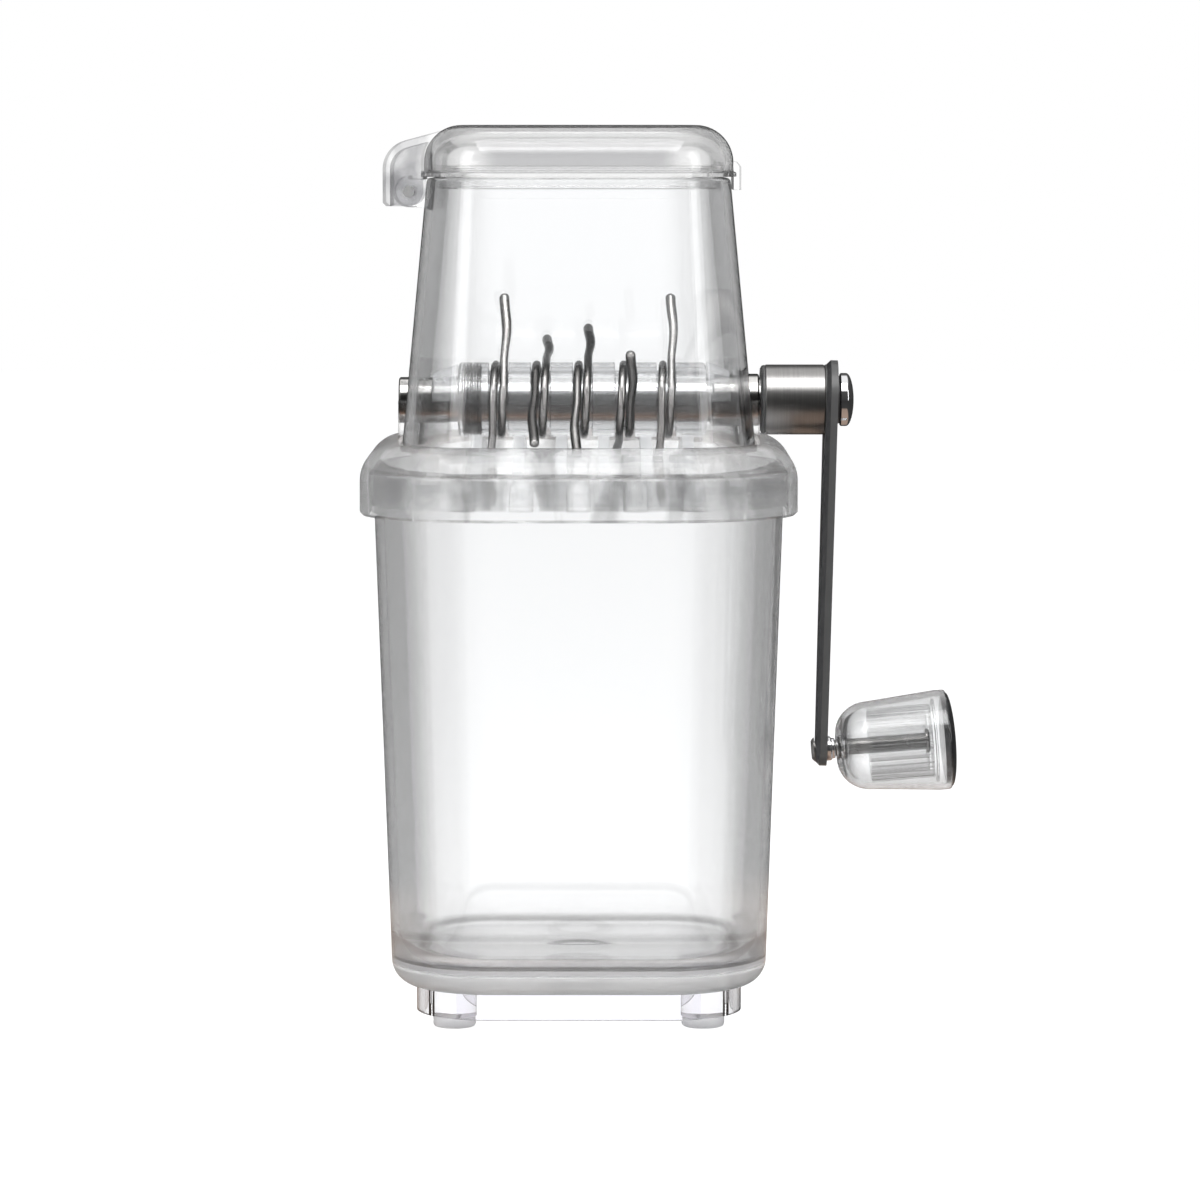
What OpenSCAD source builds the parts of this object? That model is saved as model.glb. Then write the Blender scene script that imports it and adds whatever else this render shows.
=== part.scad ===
// Hand-cranked ice crusher: a clear cup with a lift-off head. The head carries a hopper, a
// hinged lid and a cranked roller whose five wire tines drag ice down between two fixed combs.
// Millimetres. The origin is on the table under the middle of the whole object. +Z is up and
// +X points from the body towards the crank.

/* [Cup] */
// Width of the cup across its rim
cup_w = 109.8; // [104:0.2:111]
// How much deeper than wide every moulded body is
depth_extra = 3; // [0:0.5:6]
// Height of the cup from its underside to its rim
cup_h = 138; // [110:1:160]
// Wall thickness of the cup
cup_wall = 2.4; // [1.8:0.1:3]
// Thickness of the cup's floor
cup_floor = 6.3; // [3:0.1:9]
// Corner radius of the cup at its rim, seen from above
cup_corner_r = 32; // [26:1:38]
// Draft angle of the cup's walls, in degrees
cup_taper = 2; // [1:0.1:2.6]
// Radius of the cup's lower outer edge
cup_foot_r = 7; // [3:0.5:9]
// Radius between the cup's floor and its inner wall
cup_inner_r = 9; // [4:0.5:12]
// Outer diameter of the raised ring on the cup's floor
floor_ring_d = 18; // [14:0.5:24]
// Inner diameter of the raised ring on the cup's floor
floor_ring_bore = 11; // [8:0.5:12]
// Height of the raised ring on the cup's floor
floor_ring_h = 0.6; // [0.4:0.1:1.2]

/* [Base] */
// How far the skirt stands in from the cup's rim, on each side
skirt_inset = 11.3; // [10:0.1:12.9]
// Height of the skirt under the cup
skirt_h = 7; // [6:0.5:9]
// Wall thickness of the skirt
skirt_wall = 2; // [1.5:0.1:3]
// Diameter of the feet
foot_d = 12; // [10:0.5:14]
// How far the middle of a foot stands in from the skirt's outer face
foot_inset = 10.4; // [9.6:0.1:12.4]
// Diameter of the soft foot pads
pad_d = 11.4; // [9:0.2:12]
// Height of the soft foot pads below the feet
pad_h = 3; // [2:0.5:5]
// Diameter of the stem that holds a pad in its foot
pad_stem_d = 5; // [3:0.5:6]
// Length of the stem that holds a pad in its foot
pad_stem_len = 3.5; // [2:0.5:5]

/* [Collar] */
// How far the collar stands out beyond the cup's rim, on each side
collar_reach = 3.6; // [3.6:0.1:6]
// Height of the collar
collar_h = 19; // [18:0.5:22]
// Radius of the collar's round shoulder
collar_shoulder_r = 10; // [6:0.5:10.5]
// Wall thickness of the collar's skirt
collar_wall = 2.5; // [2:0.1:2.8]
// Width of the chamfer on the collar's lower edge
collar_chamfer = 0.8; // [0.4:0.1:1.2]
// How far the collar's skirt hangs down outside the cup
collar_overlap = 11.5; // [8:0.5:12.5]
// Width of the ledge under the hopper's foot, on each side of the throat
throat_ledge = 2.5; // [2.3:0.1:4.3]
// Wall thickness of the throat
throat_wall = 2.6; // [2:0.1:3]
// How far the throat hangs down inside the cup
throat_drop = 9; // [7:0.5:11]
// Number of round ribs on each broad side of the throat
throat_rib_count = 5; // [3:1:5]
// Distance between neighbouring ribs of the throat
throat_rib_pitch = 15; // [10:0.5:16]
// Diameter of the round ribs of the throat
throat_rib_d = 6.4; // [5.4:0.2:6.6]
// Height of the round ribs of the throat
throat_rib_h = 8; // [5:0.5:8.5]

/* [Combs] */
// Thickness of a comb tooth
tooth_t = 3; // [2:0.2:3.6]
// Depth of the bar that carries the teeth
comb_bar_t = 5; // [3:0.5:7]
// Height of the bar that carries the teeth
comb_bar_h = 8; // [5:0.5:9]
// Gap between a tooth's tip and the shaft axis
tooth_tip_gap = 13.5; // [13:0.5:18]
// Height of a tooth at its tip
tooth_tip_h = 4; // [3:0.5:6]
// How far a tooth rises from its root to its tip
tooth_rise = 13; // [5:0.5:14]

/* [Hopper] */
// How far the hopper's foot stands in from the collar's outer face, on each side
hopper_inset = 11.2; // [11:0.1:12]
// How far the hopper narrows from its foot to its rim, on each side
hopper_narrowing = 6.9; // [5.3:0.1:9.3]
// Height of the hopper from its seat to its rim
hopper_h = 72.5; // [65:0.5:85]
// Wall thickness of the hopper
hopper_wall = 2.2; // [1.6:0.1:2.6]
// Corner radius of the hopper at its rim, seen from above
hopper_corner_r = 20; // [16:1:24]
// Depth of the seat that the hopper stands in
hopper_seat = 2; // [1:0.5:3]

/* [Lid] */
// How far the lid's flange stands out beyond the hopper's rim, on each side
lid_reach = 1.6; // [0.9:0.1:2.6]
// Height of the lid above the hopper's rim
lid_h = 13.7; // [12.5:0.1:18]
// Wall thickness of the lid
lid_wall = 2.2; // [1.6:0.1:2.6]
// Radius of the lid's upper edge
lid_crown_r = 10; // [6:0.5:10]
// Height of the thin flange round the lid's lower edge
flange_h = 1.3; // [0.8:0.1:2]
// How far the flange stands out from the lid's wall
flange_step = 0.8; // [0.4:0.1:1.2]
// How far the lid's plug reaches into the hopper
plug_depth = 3; // [2:0.5:3.5]
// Gap between the plug and the hopper's wall
plug_gap = 1.2; // [1:0.1:2]
// Wall thickness of the plug
plug_wall = 1.6; // [1.2:0.1:2.2]
// Width of the thumb tab on the lid
thumb_w = 28; // [20:1:36]
// Thickness of the thumb tab
thumb_t = 2; // [1.5:0.1:2.5]
// How far the thumb tab hangs below the hopper's rim
thumb_drop = 3.3; // [2:0.1:5]

/* [Lid hinge] */
// Distance from the hopper's rim out to the hinge pin
hinge_out = 5.1; // [5:0.1:5.6]
// Depth of the hinge pin below the hopper's rim
hinge_drop = 3.7; // [3.4:0.1:4]
// Diameter of the hinge pin
hinge_pin_d = 3; // [2:0.1:3.4]
// Width of the lid's hinge hood
hood_w = 34; // [24:1:38]
// Wall thickness of the hood
hood_wall = 1.9; // [1.5:0.1:2]
// Thickness of the hood's cheeks
cheek_t = 2.5; // [2:0.1:3]
// Distance from the hinge pin to the hood's outer face
hood_reach = 6.9; // [6.7:0.1:7.2]
// How far the hood hangs below the hinge pin
hood_drop = 3.9; // [3.6:0.1:4]
// Radius of the hood's outer shoulder
hood_shoulder_r = 8; // [5:0.5:9]
// Slope of the hood's top, in degrees
hood_slope = 15; // [12:1:20]
// Radius of the hopper's knuckle round the hinge pin
knuckle_r = 4.2; // [3.2:0.1:4.4]

/* [Shaft and roller] */
// Height of the shaft axis above the collar
shaft_rise = 10.4; // [10:0.1:13]
// Diameter of the shaft
shaft_d = 12; // [10:0.5:12.5]
// Diameter of the shaft's left journal
journal_d = 8; // [6:0.5:9]
// Diameter of the clear roller
roller_d = 20.2; // [19:0.2:21]
// Bare length of shaft between the left bush and the roller
roller_left_gap = 7.5; // [7.4:0.1:9]
// Bare length of shaft between the right bush and the roller
roller_right_gap = 1.8; // [1.5:0.1:3]
// How far the roller runs on beyond the outer comb teeth
roller_end = 5.6; // [5:0.1:7.5]
// Width of the chamfer at the roller's ends
roller_chamfer = 1; // [0.5:0.1:1.5]

/* [Tines] */
// Number of tines
tine_count = 5; // [5:1:5]
// Wire diameter of the tines
wire_d = 2.2; // [1.8:0.1:2.3]
// Length of a tine's straight leg
tine_leg = 26.1; // [20:0.1:26.5]
// How far the wire's coil stands proud of the roller
wire_proud = 0.5; // [0.3:0.1:0.8]
// Gap between the two strands of a tine's coil
strand_gap = 0.5; // [0.45:0.05:0.6]
// Angle between a tine's two legs beyond a full turn, in degrees
leg_splay = 28; // [0:1:40]
// Sideways bow of the legs
leg_bow = 0.7; // [0:0.1:0.8]

/* [Bearings] */
// Outer diameter of the left bush
bush_left_d = 12.2; // [12:0.1:14]
// Length of the left bush
bush_left_len = 8.3; // [6:0.1:9]
// Outer diameter of the right bush
bush_right_d = 14; // [13.5:0.1:15]
// Length of the right bush
bush_right_len = 12; // [10:0.1:12.2]
// Width of the saddles that carry the bushes
saddle_w = 19; // [17:0.5:22]
// How far the saddles stand out from the hopper's foot
saddle_proud = 1.5; // [1:0.1:2]
// Length of the saddles along the shaft
saddle_len = 13; // [10.5:0.1:13.5]
// Thickness of the caps over the shaft
bearing_cap_t = 3.3; // [2:0.1:3.4]
// Length of the caps over the shaft
bearing_cap_len = 7; // [5:0.1:7]

/* [Crank] */
// Diameter of the crank's hub
hub_d = 19; // [17:0.5:20]
// Length of the crank's hub
hub_len = 17.6; // [16:0.2:24]
// Width of the chamfer on the hub's ends
hub_chamfer = 0.6; // [0.3:0.1:1]
// Diameter of the set screw in the hub
set_screw_d = 4; // [3:0.5:5]
// Diameter of the threaded end that holds the crank arm
stud_d = 7; // [5:0.5:7.5]
// Thickness of the crank arm
arm_t = 3.2; // [2.6:0.1:4]
// Distance from the shaft axis to the knob's spindle
arm_len = 95.3; // [80:0.1:100]
// Radius of the crank arm's upper end
arm_top_r = 10.7; // [10:0.1:11.5]
// Radius of the crank arm's lower end
arm_tip_r = 4.7; // [4:0.1:6]
// Inward lean of the crank arm, in degrees
arm_lean = 1.4; // [0:0.1:2]
// Thickness of the washer under the nut
washer_t = 0.8; // [0.5:0.1:1.2]
// Diameter of the washer under the nut
washer_d = 13; // [11:0.5:14]
// Diameter of the cap nut
nut_d = 14.4; // [12:0.2:16]
// Length of the cap nut
nut_len = 3.8; // [3:0.1:6]

/* [Knob] */
// Diameter of the knob's spindle
spindle_d = 4.4; // [3.6:0.1:5]
// Diameter of the ferrule between arm and knob
ferrule_d = 6.6; // [5.6:0.1:8]
// Length of the ferrule
ferrule_len = 2.3; // [1.5:0.1:4]
// Length of the knob
knob_len = 32.6; // [28:0.1:38]
// Diameter of the knob's shell where its dome ends
knob_small_d = 24; // [22:0.2:26]
// Diameter of the knob's shell at its rim
knob_big_d = 27.2; // [26:0.2:30]
// Length of the knob's dome
knob_dome = 9; // [6:0.5:10]
// Diameter of the knob's neck
knob_neck_d = 7; // [6.4:0.2:9]
// Wall thickness of the knob's shell
knob_wall = 1.6; // [1.2:0.1:2]
// Upward tilt of the knob's axis, in degrees
knob_tilt = 4.5; // [0:0.5:6]
// Number of ribs on the knob's inner sleeve
knob_rib_count = 36; // [24:1:40]
// Height of the ribs on the knob's inner sleeve
knob_rib_h = 0.7; // [0.4:0.1:1]
// Wall thickness of the knob's inner sleeve
sleeve_wall = 1.2; // [0.8:0.1:1.6]
// How far the knob's dark end cap bulges out of its shell
knob_cap_t = 1.9; // [1.5:0.1:3]

/* [Hidden] */
$fn = 96;

// Overrun of every cut past the solid that it cuts
cut_over = 1;
// Running clearance on the radius of a shaft or pin in its bore
run_gap = 0.05;
// Gap between pieces of different bodies that pass or rest close to each other
part_gap = 0.3;
// Gap round a tine's coil in its groove
groove_gap = 0.15;
// Gap round the saddles in the hopper's wall
saddle_gap = 0.4;
// Straight pieces that stand for one rounded edge of a moulded section
arc_steps = 8;
// Turning angle of each tine about the shaft, in degrees
tine_phases = [-28, -76, -68, 42, -28];
// Pieces of one turn of a tine's coil, pieces of a leg, and sides of the wire
coil_steps = 30;
leg_steps = 8;
wire_sides = 8;
// Share of a leg that stays straight before its bow starts
leg_root_share = 0.25;
// Rings of the wire's rounded tip: how far out each lies and its radius, in wire radii
tip_out_shares = [0, 0.5, 0.85, 1];
tip_r_shares = [1, 0.87, 0.53, 0.15];
// Share of the cap nut's length below its dome
nut_flat_share = 0.45;
// Share of its step that each rib and each groove of the knob's sleeve takes up
rib_width_share = 0.98;

// Widths, each from the one that carries it
collar_w = cup_w + 2 * collar_reach;
hopper_foot_w = collar_w - 2 * hopper_inset;
hopper_rim_w = hopper_foot_w - 2 * hopper_narrowing;
throat_w = hopper_foot_w - 2 * throat_ledge;
lid_w = hopper_rim_w + 2 * lid_reach;
skirt_w = cup_w - 2 * skirt_inset;
foot_spread = skirt_w - 2 * foot_inset;

// Heights above the table
cup_z = pad_h + skirt_h;
rim_z = cup_z + cup_h;
collar_z = rim_z - collar_overlap;
collar_top = collar_z + collar_h;
seat_z = collar_top - hopper_seat;
hopper_top = seat_z + hopper_h;
lid_z = hopper_top + part_gap;
lid_top = hopper_top + lid_h + part_gap;
axis_z = collar_top + shaft_rise;
pin_z = hopper_top - hinge_drop;

// Half lengths of the straight stretches between the round corners, seen from above
cup_flat = [cup_w / 2 - cup_corner_r, cup_w / 2 - cup_corner_r + depth_extra / 2];
hopper_flat = [hopper_rim_w / 2 - hopper_corner_r,
    hopper_rim_w / 2 - hopper_corner_r + depth_extra / 2];
foot_at = [foot_spread / 2, (foot_spread + depth_extra) / 2];

// Corner radii of the flat plates in the middle of the cup's floor and the lid
cup_core_r = cup_corner_r / 4;
lid_core_r = hopper_corner_r / 4;

// Distance of a throat rib's axis from the middle of the throat's corner
rib_ring_r = throat_w / 2 - cup_flat[0] + part_gap + throat_rib_d / 2;

// Drafts of the walls: growth of the half width for each unit of height
cup_draft = tan(cup_taper);
hopper_draft = (hopper_foot_w - hopper_rim_w) / 2 / hopper_h;

// Places along the shaft, from the middle of the body
saddle_out = hopper_foot_w / 2 + saddle_proud;
bush_left_in = bush_left_len - saddle_out;
bush_right_x = saddle_out - bush_right_len;
roller_left = bush_left_in + roller_left_gap;
roller_right = bush_right_x - roller_right_gap;
roller_len = roller_right - roller_left;
roller_mid_x = (roller_left + roller_right) / 2;
tine_pitch = (roller_len - 2 * roller_end) / tine_count;
hub_x = saddle_out + part_gap;
hub_end = hub_x + hub_len;
washer_x = hub_end + arm_t;
nut_x = washer_x + washer_t;
stud_len = arm_t + washer_t + nut_len / 2;
shaft_shoulder_x = hub_end - hub_len / 4;

// The tines' coil: radius of its centre line, its strand pitch and its groove
coil_r = roller_d / 2 + wire_proud - wire_d / 2;
strand_pitch = wire_d + strand_gap;
coil_angle = 360 + leg_splay;
groove_w = strand_pitch * coil_angle / 360 + wire_d + 2 * groove_gap;
groove_r = coil_r - wire_d / 2 - groove_gap;

// The hinge pin's place, and the lid's own places
pin_x = -(hopper_rim_w / 2 + hinge_out);
lid_wall_w = lid_w / 2 - flange_step;
plug_w = hopper_rim_w / 2 - hopper_wall - plug_gap;

// The knob's frame: the middle of the arm's outer face at the spindle
knob_x = hub_end + arm_t * cos(arm_lean) - arm_len * sin(arm_lean);
knob_z = axis_z - arm_t * sin(arm_lean) - arm_len * cos(arm_lean);
knob_start = ferrule_len + part_gap;
knob_end_x = knob_x + (knob_start + knob_len) * cos(knob_tilt);
shell_len = knob_len - knob_cap_t;
rivet_t = arm_t / 3;
sleeve_len = shell_len - knob_dome - 2 * knob_wall - rivet_t - part_gap;
spindle_len = knob_start + knob_dome + sleeve_len + part_gap;

// The body stands off centre, so that the origin is under the middle of the whole object
body_x = (collar_w / 2 - knob_end_x) / 2;

// Points of an arc about a centre, from one angle to another
function arc(centre, r, from, to) = [for (i = [0:arc_steps])
    centre + r * [cos(from + (to - from) * i / arc_steps), sin(from + (to - from) * i / arc_steps)]];

// Place of a tine along the shaft, from the middle of the body
function tine_x(i) = roller_mid_x + (i - (tine_count - 1) / 2) * tine_pitch;

// Half width of the cup's and the hopper's outer wall at a height
function cup_half(z) = cup_w / 2 - (rim_z - z) * cup_draft;
function hopper_half(z) = hopper_foot_w / 2 - (z - seat_z) * hopper_draft;

// Distance of a throat rib from the middle of the body, so that it follows the throat's wall
function rib_y(x) = cup_flat[1]
    + sqrt(pow(rib_ring_r, 2) - pow(max(0, abs(x) - cup_flat[0]), 2));

// Sweeps a wall section round a rectangle with round corners. The section's first axis is the
// half width, and it starts at or beyond the end of the straight stretch.
module swept(flat) {
    for (turn = [0, 2])
        rotate(turn * 90) {
            translate([flat[0], flat[1]])
                rotate_extrude(angle = 90)
                    translate([-flat[0], 0])
                        children();
            translate([-flat[0], flat[1]])
                rotate(90)
                    rotate_extrude(angle = 90)
                        translate([-flat[0], 0])
                            children();
            translate([-flat[0], flat[1]])
                rotate([90, 0, 90])
                    linear_extrude(2 * flat[0])
                        translate([-flat[0], 0])
                            children();
            translate([0, flat[1]])
                rotate([90, 0, 0])
                    linear_extrude(2 * flat[1])
                        children();
        }
}

// A plate with round corners that fills the middle of a swept solid between two heights
module middle_plate(flat, r, low, high) {
    translate([0, 0, low])
        linear_extrude(high - low) {
            square([2 * flat[0], 2 * (flat[1] + r)], center = true);
            square([2 * (flat[0] + r), 2 * flat[1]], center = true);
            for (sx = [-1, 1], sy = [-1, 1])
                translate([sx * flat[0], sy * flat[1]])
                    circle(r = r);
        }
}

// Moves children from the body's own middle to the object's frame
module on_body() {
    translate([body_x, 0, 0])
        children();
}

// Turns a solid that was made round Z so that it lies along the shaft, from a place on it
module on_shaft(x) {
    translate([body_x + x, 0, axis_z])
        rotate([0, 90, 0])
            children();
}

// The knob's own frame: Z runs outwards along the spindle, from the arm's outer face
module on_spindle() {
    translate([body_x + knob_x, 0, knob_z])
        rotate([0, 90 - knob_tilt, 0])
            children();
}

// The crank arm's own frame, from the hub's end face on the shaft axis
module on_arm() {
    translate([body_x + hub_end, 0, axis_z])
        rotate([0, arm_lean, 0])
            children();
}

// The hinge pin's frame: Z runs along the pin
module on_pin() {
    translate([body_x + pin_x, 0, pin_z])
        rotate([90, 0, 0])
            children();
}

module cup_section() {
    foot_x = cup_half(cup_z) - cup_foot_r * (1 - sin(cup_taper)) / cos(cup_taper);
    floor_z = cup_z + cup_floor;
    inner_x = cup_half(floor_z) - cup_wall - cup_inner_r * (1 - sin(cup_taper)) / cos(cup_taper);
    polygon(concat(
        [[cup_flat[0] + cup_core_r, cup_z]],
        arc([foot_x, cup_z + cup_foot_r], cup_foot_r, -90, -cup_taper),
        [[cup_w / 2, rim_z], [cup_w / 2 - cup_wall, rim_z]],
        arc([inner_x, floor_z + cup_inner_r], cup_inner_r, -cup_taper, -90),
        [[cup_flat[0] + cup_core_r, floor_z]]
    ));
}

module cup() {
    color([0.93, 0.94, 0.95, 0.35])
        on_body()
            union() {
                swept(cup_flat)
                    cup_section();
                middle_plate(cup_flat, cup_core_r, cup_z, cup_z + cup_floor);
                translate([0, 0, cup_z + cup_floor / 2])
                    difference() {
                        cylinder(h = cup_floor / 2 + floor_ring_h, d = floor_ring_d);
                        translate([0, 0, cup_floor / 2])
                            cylinder(h = floor_ring_h + cut_over, d = floor_ring_bore);
                    }
            }
}

module base_skirt() {
    color([0.90, 0.90, 0.93, 0.35])
        on_body()
            difference() {
                union() {
                    swept(cup_flat)
                        translate([skirt_w / 2 - skirt_wall, pad_h])
                            square([skirt_wall, skirt_h]);
                    for (sx = [-1, 1], sy = [-1, 1])
                        translate([sx * foot_at[0], sy * foot_at[1], pad_h])
                            cylinder(h = skirt_h, d = foot_d);
                }
                for (sx = [-1, 1], sy = [-1, 1])
                    translate([sx * foot_at[0], sy * foot_at[1], pad_h - cut_over])
                        cylinder(h = pad_stem_len + cut_over, d = pad_stem_d);
            }
}

module foot_pad(sx, sy) {
    color([0.92, 0.92, 0.92, 0.6])
        on_body()
            translate([sx * foot_at[0], sy * foot_at[1], 0]) {
                cylinder(h = pad_h, d = pad_d);
                cylinder(h = pad_h + pad_stem_len, d = pad_stem_d);
            }
}

module foot_pad_front_left() {
    foot_pad(-1, -1);
}

module foot_pad_front_right() {
    foot_pad(1, -1);
}

module foot_pad_rear_left() {
    foot_pad(-1, 1);
}

module foot_pad_rear_right() {
    foot_pad(1, 1);
}

module collar_section() {
    out = collar_w / 2;
    shoulder_z = collar_top - collar_shoulder_r;
    throat = throat_w / 2;
    polygon(concat(
        [[out - collar_wall, collar_z], [out - collar_chamfer, collar_z],
         [out, collar_z + collar_chamfer]],
        arc([out - collar_shoulder_r, shoulder_z], collar_shoulder_r, 0, 90),
        [[hopper_foot_w / 2 + part_gap, collar_top], [hopper_foot_w / 2 + part_gap, seat_z],
         [throat, seat_z], [throat, rim_z - throat_drop],
         [throat + throat_wall, rim_z - throat_drop], [throat + throat_wall, rim_z],
         [out - collar_wall, rim_z]]
    ));
}

// A round-topped rib that stands against the outside of the throat
module throat_rib() {
    straight = throat_rib_h - throat_rib_d / 2;
    rotate_extrude()
        polygon(concat(
            [[0, 0], [throat_rib_d / 2, 0]],
            arc([0, straight], throat_rib_d / 2, 0, 90)
        ));
}

// The block that carries a bush, on the right of the body
module saddle() {
    in = saddle_out - saddle_len;
    translate([0, saddle_w / 2, 0])
        rotate([90, 0, 0])
            linear_extrude(saddle_w)
                polygon([
                    [saddle_out, collar_top - hopper_seat / 2],
                    [saddle_out, axis_z],
                    [in, axis_z],
                    [in, collar_top],
                    [throat_w / 2 + throat_wall / 2, rim_z],
                    [throat_w / 2 + throat_wall, rim_z + hopper_seat / 2]
                ]);
}

module collar() {
    color([0.95, 0.96, 0.97, 0.35])
        difference() {
            on_body()
                union() {
                    swept(cup_flat)
                        collar_section();
                    for (side = [-1, 1], i = [0:throat_rib_count - 1])
                        let (x = (i - (throat_rib_count - 1) / 2) * throat_rib_pitch)
                            translate([x, side * rib_y(x), rim_z - throat_drop])
                                throat_rib();
                    saddle();
                    mirror([1, 0, 0])
                        saddle();
                }
            on_shaft(-saddle_out - cut_over)
                cylinder(h = bush_left_len + cut_over, d = bush_left_d);
            on_shaft(bush_left_in - cut_over)
                cylinder(h = saddle_len, r = shaft_d / 2 + part_gap);
            on_shaft(saddle_out - saddle_len - cut_over)
                cylinder(h = saddle_len + 2 * cut_over, d = bush_right_d);
        }
}

// One comb on the front of the throat: a bar, and a tooth between every two tines. Its back
// follows the throat's inner wall round the corners.
module comb() {
    back = throat_w / 2 + depth_extra / 2;
    bar_z = rim_z - comb_bar_h;
    bar_half = (tine_count / 2) * tine_pitch + tooth_t / 2;
    tip_z = bar_z + tooth_rise;
    intersection() {
        union() {
            translate([roller_mid_x - bar_half, -back, bar_z])
                cube([2 * bar_half, comb_bar_t, comb_bar_h]);
            for (i = [0:tine_count])
                translate([roller_mid_x + (i - tine_count / 2) * tine_pitch - tooth_t / 2, 0, 0])
                    rotate([90, 0, 90])
                        linear_extrude(tooth_t)
                            polygon([
                                [-back + comb_bar_t / 2, bar_z],
                                [-tooth_tip_gap, tip_z],
                                [-tooth_tip_gap, tip_z + tooth_tip_h],
                                [-back + comb_bar_t / 2, rim_z]
                            ]);
        }
        middle_plate(cup_flat, throat_w / 2 - cup_flat[0], bar_z - cut_over,
            tip_z + tooth_tip_h + cut_over);
    }
}

module comb_front() {
    color([0.93, 0.95, 0.96, 0.4])
        on_body()
            comb();
}

module comb_rear() {
    color([0.93, 0.95, 0.96, 0.4])
        on_body()
            mirror([0, 1, 0])
                comb();
}

module hopper_section() {
    polygon([
        [hopper_foot_w / 2, seat_z],
        [hopper_rim_w / 2, hopper_top],
        [hopper_rim_w / 2 - hopper_wall, hopper_top],
        [hopper_foot_w / 2 - hopper_wall, seat_z]
    ]);
}

// Outline of the knuckle that stands out from the hopper's wall, round the hinge pin
module knuckle_outline() {
    circle(r = knuckle_r);
    translate([0, -knuckle_r])
        square([hinge_out + hopper_wall / 3, knuckle_r + hinge_drop]);
}

module hopper() {
    knuckle_w = hood_w - 2 * cheek_t - 2 * part_gap;
    color([0.95, 0.96, 0.97, 0.3])
        difference() {
            union() {
                on_body()
                    swept(hopper_flat)
                        hopper_section();
                on_pin()
                    translate([0, 0, -knuckle_w / 2])
                        linear_extrude(knuckle_w)
                            knuckle_outline();
            }
            on_pin()
                translate([0, 0, -hood_w / 2])
                    cylinder(h = hood_w, d = hinge_pin_d);
            for (side = [-1, 1])
                on_body()
                    translate([side * hopper_foot_w / 2, 0, (seat_z + axis_z - cut_over) / 2])
                        cube([
                            4 * hopper_wall,
                            saddle_w + 2 * saddle_gap,
                            axis_z - seat_z + cut_over
                        ], center = true);
            on_shaft(-saddle_out)
                cylinder(h = bush_left_len, d = bush_left_d);
            on_shaft(bush_right_x)
                cylinder(h = bush_right_len, d = bush_right_d);
        }
}

// A cone-shaped half ring over the shaft, wide at its roller end
module bearing_cap(inner_r, length) {
    intersection() {
        difference() {
            cylinder(h = length, r1 = inner_r + bearing_cap_t / 3, r2 = inner_r + bearing_cap_t);
            translate([0, 0, -cut_over])
                cylinder(h = length + 2 * cut_over, r = inner_r);
        }
        translate([-2 * roller_d, -roller_d, -cut_over])
            cube([2 * roller_d, 2 * roller_d, length + 2 * cut_over]);
    }
}

module bearing_cap_left() {
    color([0.93, 0.95, 0.96, 0.4])
        on_shaft(roller_left - part_gap - bearing_cap_len)
            bearing_cap(shaft_d / 2 + part_gap, bearing_cap_len);
}

module bearing_cap_right() {
    color([0.93, 0.95, 0.96, 0.4])
        on_shaft(roller_right + part_gap + bearing_cap_len)
            mirror([0, 0, 1])
                bearing_cap(bush_right_d / 2, bearing_cap_len);
}

module bush_left() {
    color([0.65, 0.63, 0.61])
        on_shaft(-saddle_out)
            difference() {
                cylinder(h = bush_left_len, d = bush_left_d);
                translate([0, 0, -cut_over])
                    cylinder(h = bush_left_len + 2 * cut_over, r = journal_d / 2 + run_gap);
            }
}

module bush_right() {
    color([0.65, 0.63, 0.61])
        on_shaft(bush_right_x)
            difference() {
                cylinder(h = bush_right_len, d = bush_right_d);
                translate([0, 0, -cut_over])
                    cylinder(h = bush_right_len + 2 * cut_over, r = shaft_d / 2 + run_gap);
            }
}

module lid_section() {
    wall = lid_wall_w;
    crown_z = lid_top - lid_crown_r;
    inner_r = lid_crown_r - lid_wall;
    polygon(concat(
        [[plug_w - plug_wall, hopper_top - plug_depth], [plug_w, hopper_top - plug_depth],
         [plug_w, lid_z], [lid_w / 2, lid_z], [lid_w / 2, lid_z + flange_h],
         [wall, lid_z + flange_h]],
        arc([wall - lid_crown_r, crown_z], lid_crown_r, 0, 90),
        [[hopper_flat[0] + lid_core_r, lid_top], [hopper_flat[0] + lid_core_r, lid_top - lid_wall]],
        arc([wall - lid_crown_r, crown_z], inner_r, 90, 0),
        [[wall - lid_wall, lid_z + flange_h], [plug_w - plug_wall, lid_z + flange_h]]
    ));
}

// Outline of the lid's hinge hood about the hinge pin. The walls are inset from the hood's outer
// faces, and the side towards the lid follows an arc about the centre of the lid's crown.
module hood_outline(inset, crown_side_r, foot_z) {
    crown_x = -pin_x - lid_wall_w + lid_crown_r;
    crown_z = lid_top - lid_crown_r - pin_z;
    lid_low = lid_z - pin_z;
    shoulder_x = -hood_reach + hood_shoulder_r;
    shoulder_z = lid_top - pin_z - (crown_x - shoulder_x) * tan(hood_slope)
        - hood_shoulder_r / cos(hood_slope);
    difference() {
        polygon(concat(
            [[crown_x, lid_top - pin_z - inset / cos(hood_slope)]],
            arc([shoulder_x, shoulder_z], hood_shoulder_r - inset, 90 + hood_slope, 180),
            [[-hood_reach + inset, foot_z + hood_wall / 2],
             [-hood_reach + hood_wall / 2 + inset, foot_z]],
            arc([0, 0], -foot_z, -90, 0),
            [[-foot_z, lid_low], [crown_x, lid_low]]
        ));
        translate([crown_x, crown_z])
            circle(r = crown_side_r);
        translate([crown_x - crown_side_r, lid_low])
            square([2 * crown_side_r, crown_z - lid_low]);
    }
}

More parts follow.
